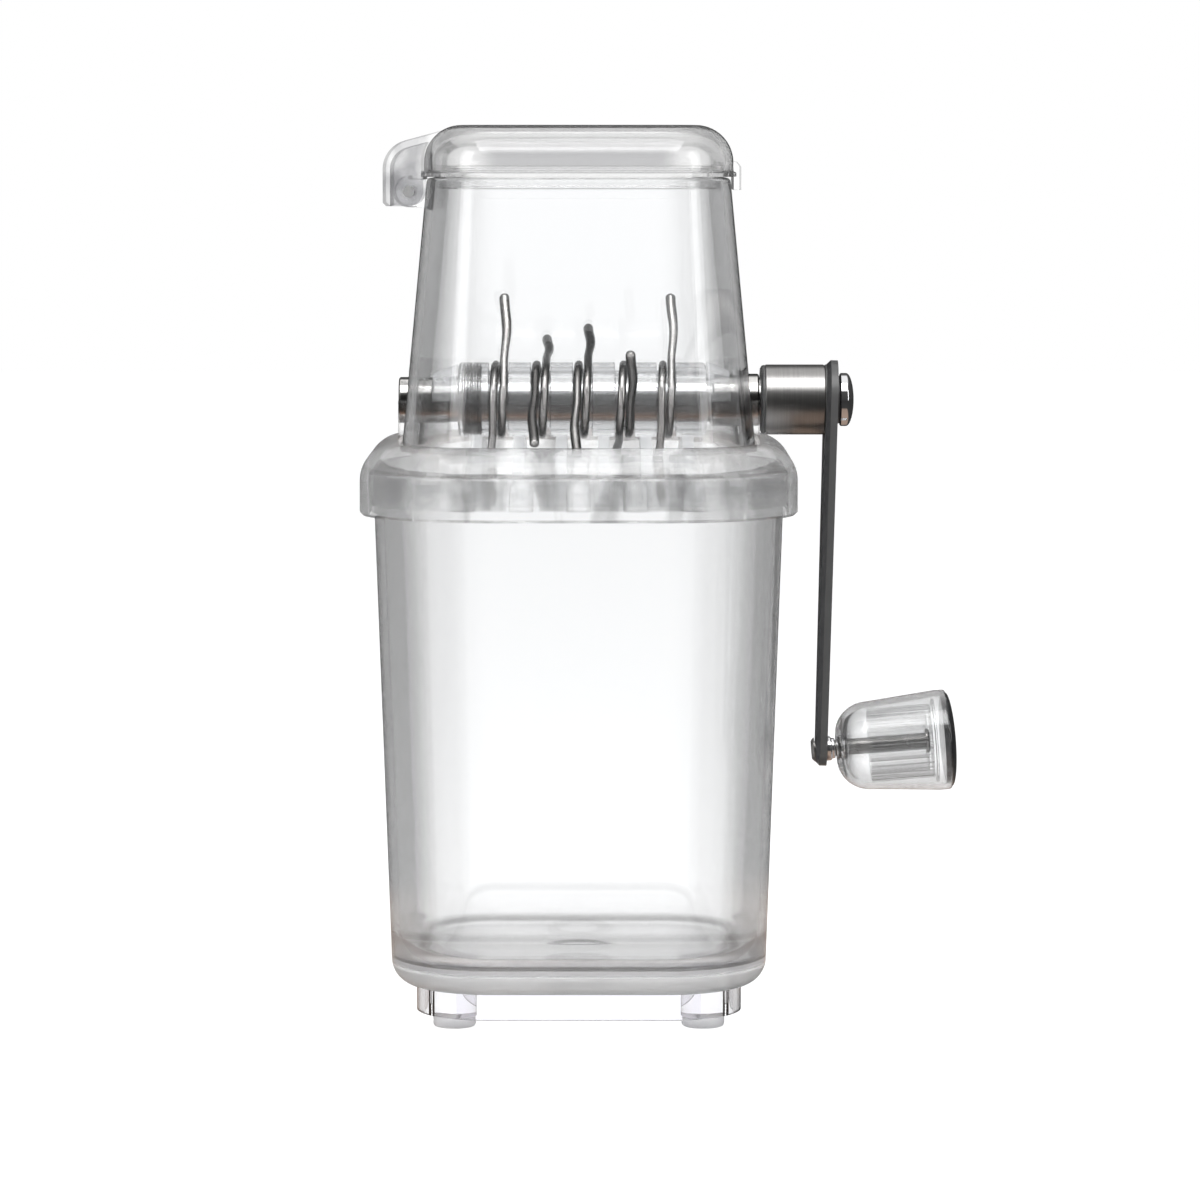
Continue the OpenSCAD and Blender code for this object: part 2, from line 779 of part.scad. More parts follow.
// Section of the thumb tab across the lid's right edge
module thumb_section() {
    in = lid_w / 2 - thumb_t / 4;
    polygon([
        [in, hopper_top - thumb_drop],
        [in + thumb_t, hopper_top - thumb_drop],
        [in + thumb_t, lid_z + 2 * flange_h],
        [in + thumb_t / 2, lid_z + 3 * flange_h],
        [lid_wall_w - lid_wall / 2, lid_z + 3 * flange_h],
        [lid_wall_w - lid_wall / 2, lid_z],
        [in, lid_z]
    ]);
}

module lid() {
    slot_w = hood_w - 2 * cheek_t;
    color([0.95, 0.96, 0.97, 0.35])
        difference() {
            union() {
                on_body() {
                    swept(hopper_flat)
                        lid_section();
                    middle_plate(hopper_flat, lid_core_r, lid_top - lid_wall, lid_top);
                    translate([0, thumb_w / 2, 0])
                        rotate([90, 0, 0])
                            linear_extrude(thumb_w)
                                thumb_section();
                }
                on_pin()
                    translate([0, 0, -hood_w / 2])
                        linear_extrude(hood_w)
                            hood_outline(0, lid_crown_r - lid_wall / 2, -hood_drop);
            }
            on_pin()
                translate([0, 0, -slot_w / 2])
                    linear_extrude(slot_w)
                        hood_outline(hood_wall, lid_crown_r + hood_wall / 2, -hood_drop - cut_over);
            on_pin()
                translate([0, 0, -hood_w / 2 - cut_over])
                    cylinder(h = hood_w + 2 * cut_over, r = hinge_pin_d / 2 + run_gap);
        }
}

module lid_hinge_pin() {
    color([0.75, 0.75, 0.75])
        on_pin()
            translate([0, 0, -hood_w / 2])
                cylinder(h = hood_w, d = hinge_pin_d);
}

module shaft() {
    color([0.55, 0.54, 0.53]) {
        on_shaft(-saddle_out)
            cylinder(h = bush_left_len + part_gap, d = journal_d);
        on_shaft(bush_left_in + part_gap)
            cylinder(h = shaft_shoulder_x - bush_left_in - part_gap, d = shaft_d);
        on_shaft(shaft_shoulder_x)
            cylinder(h = hub_end - shaft_shoulder_x + stud_len, d = stud_d);
    }
}

module roller() {
    color([0.85, 0.88, 0.90, 0.4])
        on_shaft(roller_left)
            difference() {
                rotate_extrude()
                    polygon([
                        [shaft_d / 2, 0],
                        [roller_d / 2 - roller_chamfer, 0],
                        [roller_d / 2, roller_chamfer],
                        [roller_d / 2, roller_len - roller_chamfer],
                        [roller_d / 2 - roller_chamfer, roller_len],
                        [shaft_d / 2, roller_len]
                    ]);
                for (i = [0:tine_count - 1])
                    translate([0, 0, tine_x(i) - roller_left - groove_w / 2])
                        rotate_extrude()
                            translate([groove_r, 0])
                                square([roller_d / 2 - groove_r + cut_over, groove_w]);
            }
}

// Direction of a tine's wire, and its place on the coil, at an angle of the coil
function coil_dir(a) = [0, sin(a), -cos(a)];
function coil_point(a) = [strand_pitch * (coil_angle / 2 - a) / 360, -coil_r * cos(a), -coil_r * sin(a)];

// A point of a leg, which leaves the coil at an angle; the distance is signed along the wire
function leg_point(a, distance) =
    let (
        share = min(1, abs(distance) / tine_leg),
        out = max(0, (share - leg_root_share) / (1 - leg_root_share))
    )
    coil_point(a) + distance * coil_dir(a) + [sign(distance) * -leg_bow * pow(sin(180 * out), 2), 0, 0];

// The wire's rings from one tip to the other, each a centre point and a radius
function wire_rings() = concat(
    [for (k = [len(tip_out_shares) - 1:-1:0])
        [leg_point(0, -tine_leg - tip_out_shares[k] * wire_d / 2), tip_r_shares[k] * wire_d / 2]],
    [for (k = [leg_steps - 1:-1:1]) [leg_point(0, -tine_leg * k / leg_steps), wire_d / 2]],
    [for (k = [0:coil_steps]) [coil_point(coil_angle * k / coil_steps), wire_d / 2]],
    [for (k = [1:leg_steps - 1]) [leg_point(coil_angle, tine_leg * k / leg_steps), wire_d / 2]],
    [for (k = [0:len(tip_out_shares) - 1])
        [leg_point(coil_angle, tine_leg + tip_out_shares[k] * wire_d / 2),
         tip_r_shares[k] * wire_d / 2]]
);

function unit(v) = v / norm(v);

// One tine's wire as a closed tube about the shaft axis
module tine_wire() {
    rings = wire_rings();
    last = len(rings) - 1;
    points = [for (k = [0:last])
        let (
            run = unit(rings[min(k + 1, last)][0] - rings[max(k - 1, 0)][0]),
            across = unit([1, 0, 0] - run[0] * run),
            up = cross(run, across)
        )
        for (s = [0:wire_sides - 1])
            let (t = 360 * (s + 0.5) / wire_sides)
            rings[k][0] + rings[k][1] * (cos(t) * across + sin(t) * up)];
    sides = [for (k = [0:last - 1], s = [0:wire_sides - 1])
        let (
            a = k * wire_sides + s,
            b = k * wire_sides + (s + 1) % wire_sides,
            c = b + wire_sides,
            d = a + wire_sides
        )
        each [[a, d, c], [a, c, b]]];
    ends = [for (s = [1:wire_sides - 2])
        each [[0, s, s + 1], [last * wire_sides, last * wire_sides + s + 1, last * wire_sides + s]]];
    polyhedron(points = points, faces = concat(sides, ends));
}

// Least gap between the two strands of a tine's coil, measured between the points of its rings
strand_points = [for (k = [0:coil_steps]) coil_point(coil_angle * k / coil_steps)];
half_turn = floor(coil_steps * 180 / coil_angle);
least_gap = min([for (i = [0:coil_steps - half_turn], j = [i + half_turn:coil_steps])
    norm(strand_points[i] - strand_points[j])]) - wire_d;
echo(least_strand_gap = least_gap);

module tine(i) {
    color([0.50, 0.49, 0.48])
        translate([body_x + tine_x(i), 0, axis_z])
            rotate([tine_phases[i], 0, 0])
                tine_wire();
}

module tine_1() {
    tine(0);
}

module tine_2() {
    tine(1);
}

module tine_3() {
    tine(2);
}

module tine_4() {
    tine(3);
}

module tine_5() {
    tine(4);
}

module crank_hub() {
    seat = shaft_shoulder_x - hub_x;
    color([0.30, 0.29, 0.29])
        on_shaft(hub_x)
            difference() {
                rotate_extrude()
                    polygon([
                        [shaft_d / 2, 0],
                        [hub_d / 2 - hub_chamfer, 0],
                        [hub_d / 2, hub_chamfer],
                        [hub_d / 2, hub_len - hub_chamfer],
                        [hub_d / 2 - hub_chamfer, hub_len],
                        [stud_d / 2, hub_len],
                        [stud_d / 2, seat],
                        [shaft_d / 2, seat]
                    ]);
                translate([0, 0, hub_len / 3])
                    rotate([-90, 0, 0])
                        cylinder(h = hub_d, d = set_screw_d);
            }
}

module hub_set_screw() {
    socket = set_screw_d / 2;
    color([0.15, 0.15, 0.15])
        on_shaft(hub_x + hub_len / 3)
            rotate([-90, 0, 0])
                difference() {
                    translate([0, 0, shaft_d / 2])
                        cylinder(h = (hub_d - shaft_d) / 2 - hub_chamfer / 2, d = set_screw_d);
                    translate([0, 0, hub_d / 2 - socket])
                        cylinder(h = socket + cut_over, d = socket, $fn = 6);
                }
}

// The arm's blade in its own leaning frame: two round ends and their common tangents
module arm_blade() {
    slope = asin((arm_top_r - arm_tip_r) / arm_len);
    rotate([90, 0, 90])
        linear_extrude(arm_t) {
            circle(r = arm_top_r);
            translate([0, -arm_len])
                circle(r = arm_tip_r);
            polygon([
                [arm_top_r * cos(slope), -arm_top_r * sin(slope)],
                [-arm_top_r * cos(slope), -arm_top_r * sin(slope)],
                [-arm_tip_r * cos(slope), -arm_len - arm_tip_r * sin(slope)],
                [arm_tip_r * cos(slope), -arm_len - arm_tip_r * sin(slope)]
            ]);
        }
}

module crank_arm() {
    color([0.08, 0.08, 0.08])
        difference() {
            union() {
                on_arm()
                    arm_blade();
                on_shaft(hub_end)
                    cylinder(h = arm_t, d = hub_d);
            }
            on_shaft(hub_end - arm_t)
                cylinder(h = arm_t, d = hub_d + part_gap);
            on_shaft(washer_x)
                cylinder(h = arm_t, d = nut_d + part_gap);
            on_shaft(hub_end - cut_over)
                cylinder(h = arm_t + 2 * cut_over, d = stud_d);
            on_spindle()
                translate([0, 0, -2 * arm_t])
                    cylinder(h = 4 * arm_t, d = spindle_d);
        }
}

// The slab that the arm's blade is cut from, to fit what seats on its faces
module arm_slab() {
    on_arm()
        translate([0, -arm_top_r, -arm_len - arm_top_r])
            cube([arm_t, 2 * arm_top_r, arm_len]);
}

module crank_washer() {
    color([0.10, 0.10, 0.10])
        on_shaft(washer_x)
            difference() {
                cylinder(h = washer_t, d = washer_d);
                translate([0, 0, -cut_over])
                    cylinder(h = washer_t + 2 * cut_over, d = stud_d);
            }
}

module crank_nut() {
    flat_len = nut_len * nut_flat_share;
    color([0.80, 0.80, 0.80])
        on_shaft(nut_x)
            difference() {
                rotate_extrude()
                    polygon(concat(
                        [[0, 0], [nut_d / 2, 0], [nut_d / 2, flat_len]],
                        [for (k = [1:arc_steps])
                            [nut_d / 2 * cos(90 * k / arc_steps),
                             flat_len + (nut_len - flat_len) * sin(90 * k / arc_steps)]]
                    ));
                translate([0, 0, -cut_over])
                    cylinder(h = nut_len / 2 + cut_over, d = stud_d);
            }
}

module knob_ferrule() {
    color([0.78, 0.78, 0.78])
        difference() {
            on_spindle()
                translate([0, 0, -cut_over])
                    difference() {
                        cylinder(h = ferrule_len + cut_over, d = ferrule_d);
                        translate([0, 0, -cut_over])
                            cylinder(h = ferrule_len + 3 * cut_over, d = spindle_d);
                    }
            arm_slab();
        }
}

module knob_spindle() {
    color([0.20, 0.20, 0.20])
        difference() {
            on_spindle() {
                translate([0, 0, -arm_t - rivet_t])
                    cylinder(h = arm_t + rivet_t + spindle_len, d = spindle_d);
                translate([0, 0, spindle_len])
                    cylinder(h = rivet_t, d = ferrule_d);
                translate([0, 0, -arm_t - rivet_t])
                    cylinder(h = 2 * rivet_t, d = ferrule_d);
            }
            difference() {
                arm_slab();
                on_spindle()
                    translate([0, 0, -2 * arm_t])
                        cylinder(h = 4 * arm_t, d = spindle_d);
            }
        }
}

// Half of the knob's dome as an arc from its neck to its full width
function dome(neck_r, full_r, low, high) = [for (k = [0:arc_steps])
    [neck_r + (full_r - neck_r) * sin(90 * k / arc_steps),
     low + (high - low) * (1 - cos(90 * k / arc_steps))]];

module knob_shell() {
    small = knob_small_d / 2;
    big = knob_big_d / 2;
    bore = spindle_d / 2 + part_gap;
    color([0.92, 0.93, 0.94, 0.35])
        on_spindle()
            translate([0, 0, knob_start])
                rotate_extrude()
                    polygon(concat(
                        [[bore, 0]],
                        dome(knob_neck_d / 2, small, 0, knob_dome),
                        [[big, shell_len - 2 * knob_wall], [big, shell_len - knob_wall],
                         [big - knob_wall / 2, shell_len], [big - knob_wall, shell_len],
                         [big - knob_wall, shell_len - 2 * knob_wall]],
                        [for (k = [arc_steps:-1:0])
                            dome(bore + knob_wall, small - knob_wall, 1.5 * knob_wall, knob_dome)[k]],
                        [[bore, 1.5 * knob_wall]]
                    ));
}

// Outline of the sleeve with its ribs, seen along the spindle
module ribbed_outline(root_r) {
    polygon([for (k = [0:2 * knob_rib_count - 1], side = [0, 1])
        let (r = root_r + (k % 2) * knob_rib_h, t = 180 * (k + side * rib_width_share) / knob_rib_count)
        [r * cos(t), r * sin(t)]]);
}

module knob_core() {
    root_r = knob_small_d / 2 - knob_wall - knob_rib_h - part_gap;
    color([0.90, 0.91, 0.92, 0.4])
        on_spindle()
            translate([0, 0, knob_start + knob_dome])
                difference() {
                    union() {
                        difference() {
                            linear_extrude(sleeve_len)
                                ribbed_outline(root_r);
                            translate([0, 0, -cut_over])
                                cylinder(h = sleeve_len - sleeve_wall + cut_over, r = root_r - sleeve_wall);
                        }
                        cylinder(h = sleeve_len, r = spindle_d / 2 + run_gap + 2 * sleeve_wall);
                    }
                    translate([0, 0, -cut_over])
                        cylinder(h = sleeve_len + 2 * cut_over, r = spindle_d / 2 + run_gap);
                }
}

module knob_cap() {
    plug_r = knob_big_d / 2 - knob_wall;
    rim_r = knob_big_d / 2 - knob_wall / 2;
    color([0.06, 0.06, 0.07])
        on_spindle()
            translate([0, 0, knob_start + shell_len])
                rotate_extrude()
                    polygon(concat(
                        [[0, -knob_wall], [plug_r, -knob_wall], [plug_r, 0]],
                        [for (k = [0:arc_steps])
                            [rim_r * cos(90 * k / arc_steps), knob_cap_t * sin(90 * k / arc_steps)]]
                    ));
}

cup();
base_skirt();
foot_pad_front_left();
foot_pad_front_right();
foot_pad_rear_left();
foot_pad_rear_right();
collar();
comb_front();
comb_rear();
hopper();
bearing_cap_left();
bearing_cap_right();
bush_left();
bush_right();
lid();
lid_hinge_pin();
shaft();
roller();
tine_1();
tine_2();
tine_3();
tine_4();
tine_5();
crank_hub();
hub_set_screw();
crank_arm();
crank_washer();
crank_nut();
knob_ferrule();
knob_spindle();
knob_shell();
knob_core();
knob_cap();
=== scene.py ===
"""Looks of the hand-cranked ice crusher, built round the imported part.

The origin is on the table under the middle of the whole object, +Z is up and +X points from the
body towards the crank. Sizes are written in millimetres and turned into metres where a mesh is
made.
"""

import logging
from collections.abc import Iterable, Sequence
from dataclasses import dataclass, replace
from enum import Enum
from math import asin, cos, degrees, radians, sin, tan

import bpy
from mathutils import Matrix, Vector


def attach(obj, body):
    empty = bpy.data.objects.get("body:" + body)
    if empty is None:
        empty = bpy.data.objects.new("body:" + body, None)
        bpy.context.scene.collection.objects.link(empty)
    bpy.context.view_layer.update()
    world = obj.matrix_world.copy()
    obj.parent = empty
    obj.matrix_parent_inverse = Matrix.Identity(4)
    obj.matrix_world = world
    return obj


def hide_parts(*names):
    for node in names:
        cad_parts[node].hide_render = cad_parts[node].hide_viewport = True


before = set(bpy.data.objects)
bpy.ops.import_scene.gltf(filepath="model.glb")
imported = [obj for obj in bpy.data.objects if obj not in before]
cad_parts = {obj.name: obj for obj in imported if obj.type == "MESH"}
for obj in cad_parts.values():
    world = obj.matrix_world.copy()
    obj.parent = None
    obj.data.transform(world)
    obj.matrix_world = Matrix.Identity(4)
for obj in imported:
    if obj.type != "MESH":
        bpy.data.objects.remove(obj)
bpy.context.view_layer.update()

log = logging.getLogger("ice_crusher")

MM = 0.001
MERGE_DISTANCE = 2e-6
GRAIN = 0.2 * MM
CORNER_STEPS = 20
ROUND_STEPS = 96
FINE_STEPS = 64
BORE_STEPS = 48
SMOOTH_ANGLE = 32.0
WIRE_SMOOTH_ANGLE = 60.0
BEVEL_ANGLE = 34.0
DOME_ANGLES = range(0, 91, 6)
RING_ANGLES = range(0, 181, 20)

# Where marks, streaks, edges and shades of the surface effects start and end; the streaks, the edges of
# clear plastic and the dark rims of metal are painted shade, and the faces that don't look along X are
# painted light
UPRIGHT_MARKS = (1.0, 1.0, 0.12)
RUBBED_MARKS = (0.55, 0.75)
UPRIGHT_STREAKS = (1.0, 1.0, 0.3)
STREAK_EDGES = (0.50, 0.60)
STREAK_FADE = (0.030, 0.046)
STREAKS_LEFT = 0.15
PAINTED_EDGE_VIEW = (0.0, 0.6)
PAINTED_RIM_VIEW = (0.05, 0.45)
METAL_SHADES = (0.1, 0.45)
PAINTED_LIGHT_FACES = (0.2, 0.6)

Piece = bpy.types.Object
Socket = bpy.types.NodeSocket
Pair = tuple[float, float]
Place = tuple[float, float, float]
Profile = list[Pair]
Colour = tuple[float, float, float]
Stops = tuple[tuple[float, Colour], ...]


# Shaping with operators


def deselect() -> None:
    """Leaves object mode with nothing selected."""
    if bpy.context.object and bpy.context.object.mode != "OBJECT":
        bpy.ops.object.mode_set(mode="OBJECT")
    bpy.ops.object.select_all(action="DESELECT")


def pick(piece: Piece) -> None:
    """Makes one piece the only selected and active one."""
    deselect()
    piece.select_set(True)
    bpy.context.view_layer.objects.active = piece


def arc(centre: Pair, radius: float, start: float, end: float,
        steps: int = 8) -> Profile:
    """Gives the points of an arc.

    Args:
        centre: Middle of the arc.
        radius: Its radius.
        start: Angle of the first point, in degrees.
        end: Angle of the last point, in degrees.
        steps: Number of straight pieces.

    Returns:
        The points from start to end.
    """
    turns = [radians(start + (end - start) * i / steps) for i in range(steps + 1)]
    return [(centre[0] + radius * cos(t), centre[1] + radius * sin(t)) for t in turns]


def start_point(name: str, at: Vector) -> Piece:
    """Adds a small plane, merges it to one point in edit mode and leaves that point selected.

    Args:
        name: Name of the new piece.
        at: Place of the point, in metres.

    Returns:
        The new piece, in edit mode.
    """
    deselect()
    bpy.ops.mesh.primitive_plane_add(size=MM, location=at)
    piece = bpy.context.object
    piece.name = piece.data.name = name
    bpy.ops.object.transform_apply(location=True, rotation=True, scale=True)
    bpy.ops.object.mode_set(mode="EDIT")
    bpy.ops.mesh.select_mode(type="VERT")
    bpy.ops.mesh.merge(type="CENTER")
    return piece


def trace(points: Sequence[Vector]) -> None:
    """Extrudes the selected point along a path of places in metres."""
    for here, there in zip(points, points[1:]):
        bpy.ops.mesh.extrude_vertices_move(TRANSFORM_OT_translate={"value": there - here})


def close_up() -> None:
    """Merges doubles and turns every face outwards, then leaves edit mode."""
    bpy.ops.mesh.select_all(action="SELECT")
    bpy.ops.mesh.remove_doubles(threshold=MERGE_DISTANCE)
    bpy.ops.mesh.dissolve_degenerate(threshold=MERGE_DISTANCE)
    bpy.ops.mesh.normals_make_consistent(inside=False)
    bpy.ops.object.mode_set(mode="OBJECT")


def place(piece: Piece, matrix: Matrix) -> Piece:
    """Moves a piece from the origin to its place and applies that to its mesh."""
    pick(piece)
    piece.matrix_world = matrix
    bpy.ops.object.transform_apply(location=True, rotation=True, scale=True)
    return piece


def turned(name: str, profile: Profile, matrix: Matrix, steps: int = ROUND_STEPS,
           edge: float | None = None) -> Piece:
    """Turns a closed profile about Z into a round solid and puts it in place.

    Args:
        name: Name of the new piece.
        profile: Radius and height of each point, in millimetres, without the first repeated.
        matrix: Place of the solid.
        steps: Number of straight pieces round it.
        edge: Width of the rounding of its edges, in millimetres; None leaves it unshaded.

    Returns:
        The new piece.
    """
    on_axis = max(abs(profile[0][0]), abs(profile[-1][0])) * MM < MERGE_DISTANCE
    outline = profile if on_axis else [*profile, profile[0]]
    places = [Vector((r * MM, 0, z * MM)) for r, z in outline]
    piece = start_point(name, places[0])
    trace(places)
    bpy.ops.mesh.select_all(action="SELECT")
    bpy.ops.mesh.spin(steps=steps, angle=radians(360), center=(0, 0, 0), axis=(0, 0, 1))
    close_up()
    place(piece, matrix)
    if edge is not None:
        soften(piece, edge)
    return piece


def rod(radius: float, start: float, end: float, inner: float = 0.0) -> Profile:
    """Gives the profile of a plain rod, or of a tube if it has an inner radius."""
    return [(inner, start), (radius, start), (radius, end), (inner, end)]


def shifted(x: float = 0.0, y: float = 0.0, z: float = 0.0) -> Matrix:
    """Gives a shift in millimetres."""
    return Matrix.Translation(Vector((x, y, z)) * MM)


def swept(name: str, profile: Profile, flat: Pair, closed: bool) -> Piece:
    """Sweeps a wall's profile round a rectangle with round corners, by extrusions and spins.

    Args:
        name: Name of the new piece.
        profile: Half width and height of each point, in millimetres.
        flat: Half lengths of the straight stretches along X and Y, in millimetres.
        closed: True if the profile is a closed outline; otherwise its two open loops are filled.

    Returns:
        The new piece, round the Z axis.
    """
    fx, fy = flat[0] * MM, flat[1] * MM
    outline = [*profile, profile[0]] if closed else profile
    places = [Vector((x * MM, -fy, z * MM)) for x, z in outline]
    piece = start_point(name, places[0])
    trace(places)
    bpy.ops.mesh.select_all(action="SELECT")
    runs = [(0, 2 * fy, 0), (-2 * fx, 0, 0), (0, -2 * fy, 0), (2 * fx, 0, 0)]
    corners = [(fx, fy, 0), (-fx, fy, 0), (-fx, -fy, 0), (fx, -fy, 0)]
    for run, corner in zip(runs, corners):
        bpy.ops.mesh.extrude_edges_move(TRANSFORM_OT_translate={"value": run})
        bpy.ops.mesh.spin(steps=CORNER_STEPS, angle=radians(90), center=corner, axis=(0, 0, -1))
    bpy.ops.mesh.select_all(action="SELECT")
    bpy.ops.mesh.remove_doubles(threshold=MERGE_DISTANCE)
    if not closed:
        bpy.ops.mesh.fill_holes(sides=0)
    close_up()
    return piece


def slab(name: str, outline: Profile, low: float, high: float, matrix: Matrix,
         chamfer: float = 0.0) -> Piece:
    """Extrudes a flat outline into a plate.

    Args:
        name: Name of the new piece.
        outline: Points in the XY plane, in millimetres.
        low: Height of its underside, in millimetres.
        high: Height of its upper side, in millimetres.
        matrix: Place of the plate.
        chamfer: Width of a chamfer that is added below its high side, in millimetres.

    Returns:
        The new piece.
    """
    places = [Vector((x * MM, y * MM, low * MM)) for x, y in [*outline, outline[0]]]
    piece = start_point(name, places[0])
    trace(places)
    bpy.ops.mesh.select_all(action="SELECT")
    bpy.ops.mesh.remove_doubles(threshold=MERGE_DISTANCE)
    bpy.ops.mesh.edge_face_add()
    bpy.ops.mesh.extrude_region_move(TRANSFORM_OT_translate={"value": (0, 0, (high - low) * MM)})
    if chamfer:
        bpy.ops.mesh.inset(thickness=chamfer * MM)
        bpy.ops.transform.translate(value=(0, 0, -chamfer * MM))
    close_up()
    return place(piece, matrix)


def block(name: str, low: Place, high: Place) -> Piece:
    """Makes a plain block between two corners in millimetres, for use as a cutter."""
    deselect()
    middle = (Vector(low) + Vector(high)) / 2 * MM
    bpy.ops.mesh.primitive_cube_add(size=1, location=middle)
    piece = bpy.context.object
    piece.name = name
    piece.scale = (Vector(high) - Vector(low)) * MM
    bpy.ops.object.transform_apply(location=True, rotation=True, scale=True)
    return piece


class Join(Enum):
    """How a second solid changes the first."""

    ADD = "UNION"
    CUT = "DIFFERENCE"
    KEEP = "INTERSECT"


def combine(piece: Piece, tool: Piece, how: Join) -> Piece:
    """Applies a second solid to the first and deletes the second.

    Args:
        piece: The solid that is changed.
        tool: The solid that changes it.
        how: Whether the second is added, cut away or kept in common.

    Returns:
        The changed piece.
    """
    pick(piece)
    change = piece.modifiers.new("change", "BOOLEAN")
    change.operation = how.value
    change.solver = "EXACT"
    change.object = tool
    bpy.ops.object.modifier_apply(modifier=change.name)
    bpy.data.objects.remove(tool)
    return piece


def soften(piece: Piece, width: float, segments: int = 2) -> None:
    """Rounds the sharp edges of a piece and shades it smooth.

    Args:
        piece: The piece.
        width: Width of the rounding, in millimetres; 0 leaves the edges.
        segments: Number of strips in the rounding.
    """
    pick(piece)
    if width:
        edges = piece.modifiers.new("edges", "BEVEL")
        edges.width = width * MM
        edges.segments = segments
        edges.limit_method = "ANGLE"
        edges.angle_limit = radians(BEVEL_ANGLE)
        edges.use_clamp_overlap = True
        bpy.ops.object.modifier_apply(modifier=edges.name)
    bpy.ops.object.shade_smooth_by_angle(angle=radians(SMOOTH_ANGLE))
    even = piece.modifiers.new("even", "WEIGHTED_NORMAL")
    even.keep_sharp = True
    bpy.ops.object.modifier_apply(modifier=even.name)


def wire(name: str, places: Sequence[Vector], radii: Sequence[float], sides: int) -> Piece:
    """Makes a round wire along a path, with its own radius at each point.

    Args:
        name: Name of the new piece.
        places: Points of the path, in metres.
        radii: Radius at each point, in metres.
        sides: Number of sides of the wire, a multiple of four.

    Returns:
        The new piece as a mesh.
    """
    piece = start_point(name, places[0])
    trace(places)
    bpy.ops.object.mode_set(mode="OBJECT")
    pick(piece)
    bpy.ops.object.convert(target="CURVE")
    piece = bpy.context.object
    line = piece.data.splines[0]
    if (line.points[0].co.xyz - places[0]).length > MM:
        radii = list(reversed(radii))
    for point, radius in zip(line.points, radii):
        point.radius = radius / MM
    piece.data.bevel_depth = MM
    piece.data.bevel_resolution = sides // 4
    piece.data.use_fill_caps = True
    bpy.ops.object.convert(target="MESH")
    piece = bpy.context.object
    piece.name = piece.data.name = name
    bpy.ops.object.mode_set(mode="EDIT")
    close_up()
    bpy.ops.object.shade_smooth_by_angle(angle=radians(WIRE_SMOOTH_ANGLE))
    return piece


# Shader nodes


class Graph:
    """Short ways to fill a node tree."""

    def __init__(self, tree: bpy.types.NodeTree) -> None:
        """Keeps the tree that is filled."""
        self.tree = tree

    def add(self, kind: str, values: dict[str | int, object] | None = None,
            **settings: object) -> bpy.types.Node:
        """Adds a node, sets its properties and the values or links of its inputs.

        Args:
            kind: Blender's name of the node's type, without ShaderNode.
            values: Input by name or number, with a value or the output socket that feeds it.
            **settings: Properties of the node.

        Returns:
            The new node.
        """
        node = self.tree.nodes.new("ShaderNode" + kind)
        for label, setting in settings.items():
            setattr(node, label, setting)
        for label, value in (values or {}).items():
            socket = node.inputs[label]
            if isinstance(value, Socket):
                self.tree.links.new(value, socket)
            else:
                socket.default_value = (*value, 1.0) if socket.type == "RGBA" else value
        return node

    def out(self, kind: str, values: dict[str | int, object] | None = None,
            which: str | int = 0, **settings: object) -> Socket:
        """Adds a node and returns one of its outputs."""
        return self.add(kind, values, **settings).outputs[which]

    def math(self, how: str, a: object, b: object = 0.0) -> Socket:
        """Works on two values or sockets."""
        return self.out("Math", {0: a, 1: b}, operation=how)

    def off(self, value: Socket, middle: object) -> Socket:
        """Gives how far a value is from a middle."""
        return self.math("ABSOLUTE", self.math("SUBTRACT", value, middle))

    def span(self, value: Socket, low: float, high: float, start: object = 0.0,
             end: object = 1.0, **settings: object) -> Socket:
        """Maps a value that runs from low to high onto start to end, and holds it there."""
        values = {"Value": value, "From Min": low, "From Max": high, "To Min": start, "To Max": end}
        return self.out("MapRange", values, **settings)

    def soft_line(self, off: Socket, half: float, edge: float) -> Socket:
        """Gives 1 up to half a line's width, which falls softly to 0 over its edge."""
        return self.span(off, half, half + edge, 1.0, 0.0, interpolation_type="SMOOTHSTEP")

    def blend(self, share: object, first: object, second: object, **settings: object) -> Socket:
        """Mixes two colours."""
        return self.out("Mix", {0: share, 6: first, 7: second}, 2, data_type="RGBA", **settings)

    def shaders(self, share: object, first: object, second: object) -> Socket:
        """Mixes two shaders."""
        return self.out("MixShader", {0: share, 1: first, 2: second})

    def vector(self, how: str, a: object, b: object = (0.0, 0.0, 0.0),
               which: str = "Vector") -> Socket:
        """Works on two vectors."""
        return self.out("VectorMath", {0: a, 1: b}, which, operation=how)

    def part(self, vector: Socket, axis: str) -> Socket:
        """Gives one part of a vector."""
        return self.out("SeparateXYZ", {0: vector}, axis)

    def place(self) -> Socket:
        """Gives the place on the object."""
        return self.out("TexCoord", which="Object")

    def facing(self) -> Socket:
        """Gives 0 where the surface is seen square on and 1 where it is seen along."""
        return self.out("LayerWeight", {"Blend": 0.5}, "Facing")

    def noise(self, at: Socket, scale: object, detail: float, distortion: float = 0.0) -> Socket:
        """Gives an uneven value between 0 and 1."""
        values = {"Vector": at, "Scale": scale, "Detail": detail, "Distortion": distortion}
        return self.out("TexNoise", values)

    def stretched(self, at: Socket, scale: object) -> Socket:
        """Scales a place along each axis."""
        return self.out("Mapping", {"Vector": at, "Scale": scale})

    def bump(self, height: Socket, strength: float, distance: float = MM) -> Socket:
        """Gives the normal that a height makes."""
        return self.out("Bump", {"Height": height, "Strength": strength, "Distance": distance})

    def ramp(self, value: Socket, stops: Stops) -> Socket:
        """Adds a colour ramp with the given stops and returns its colour."""
        node = self.add("ValToRGB", {0: value})
        elements = node.color_ramp.elements
        for position, shade in stops[1:-1]:
            elements.new(position).color = (*shade, 1.0)
        for element, (position, shade) in ((elements[0], stops[0]), (elements[-1], stops[-1])):
            element.position, element.color = position, (*shade, 1.0)
        return node.outputs[0]


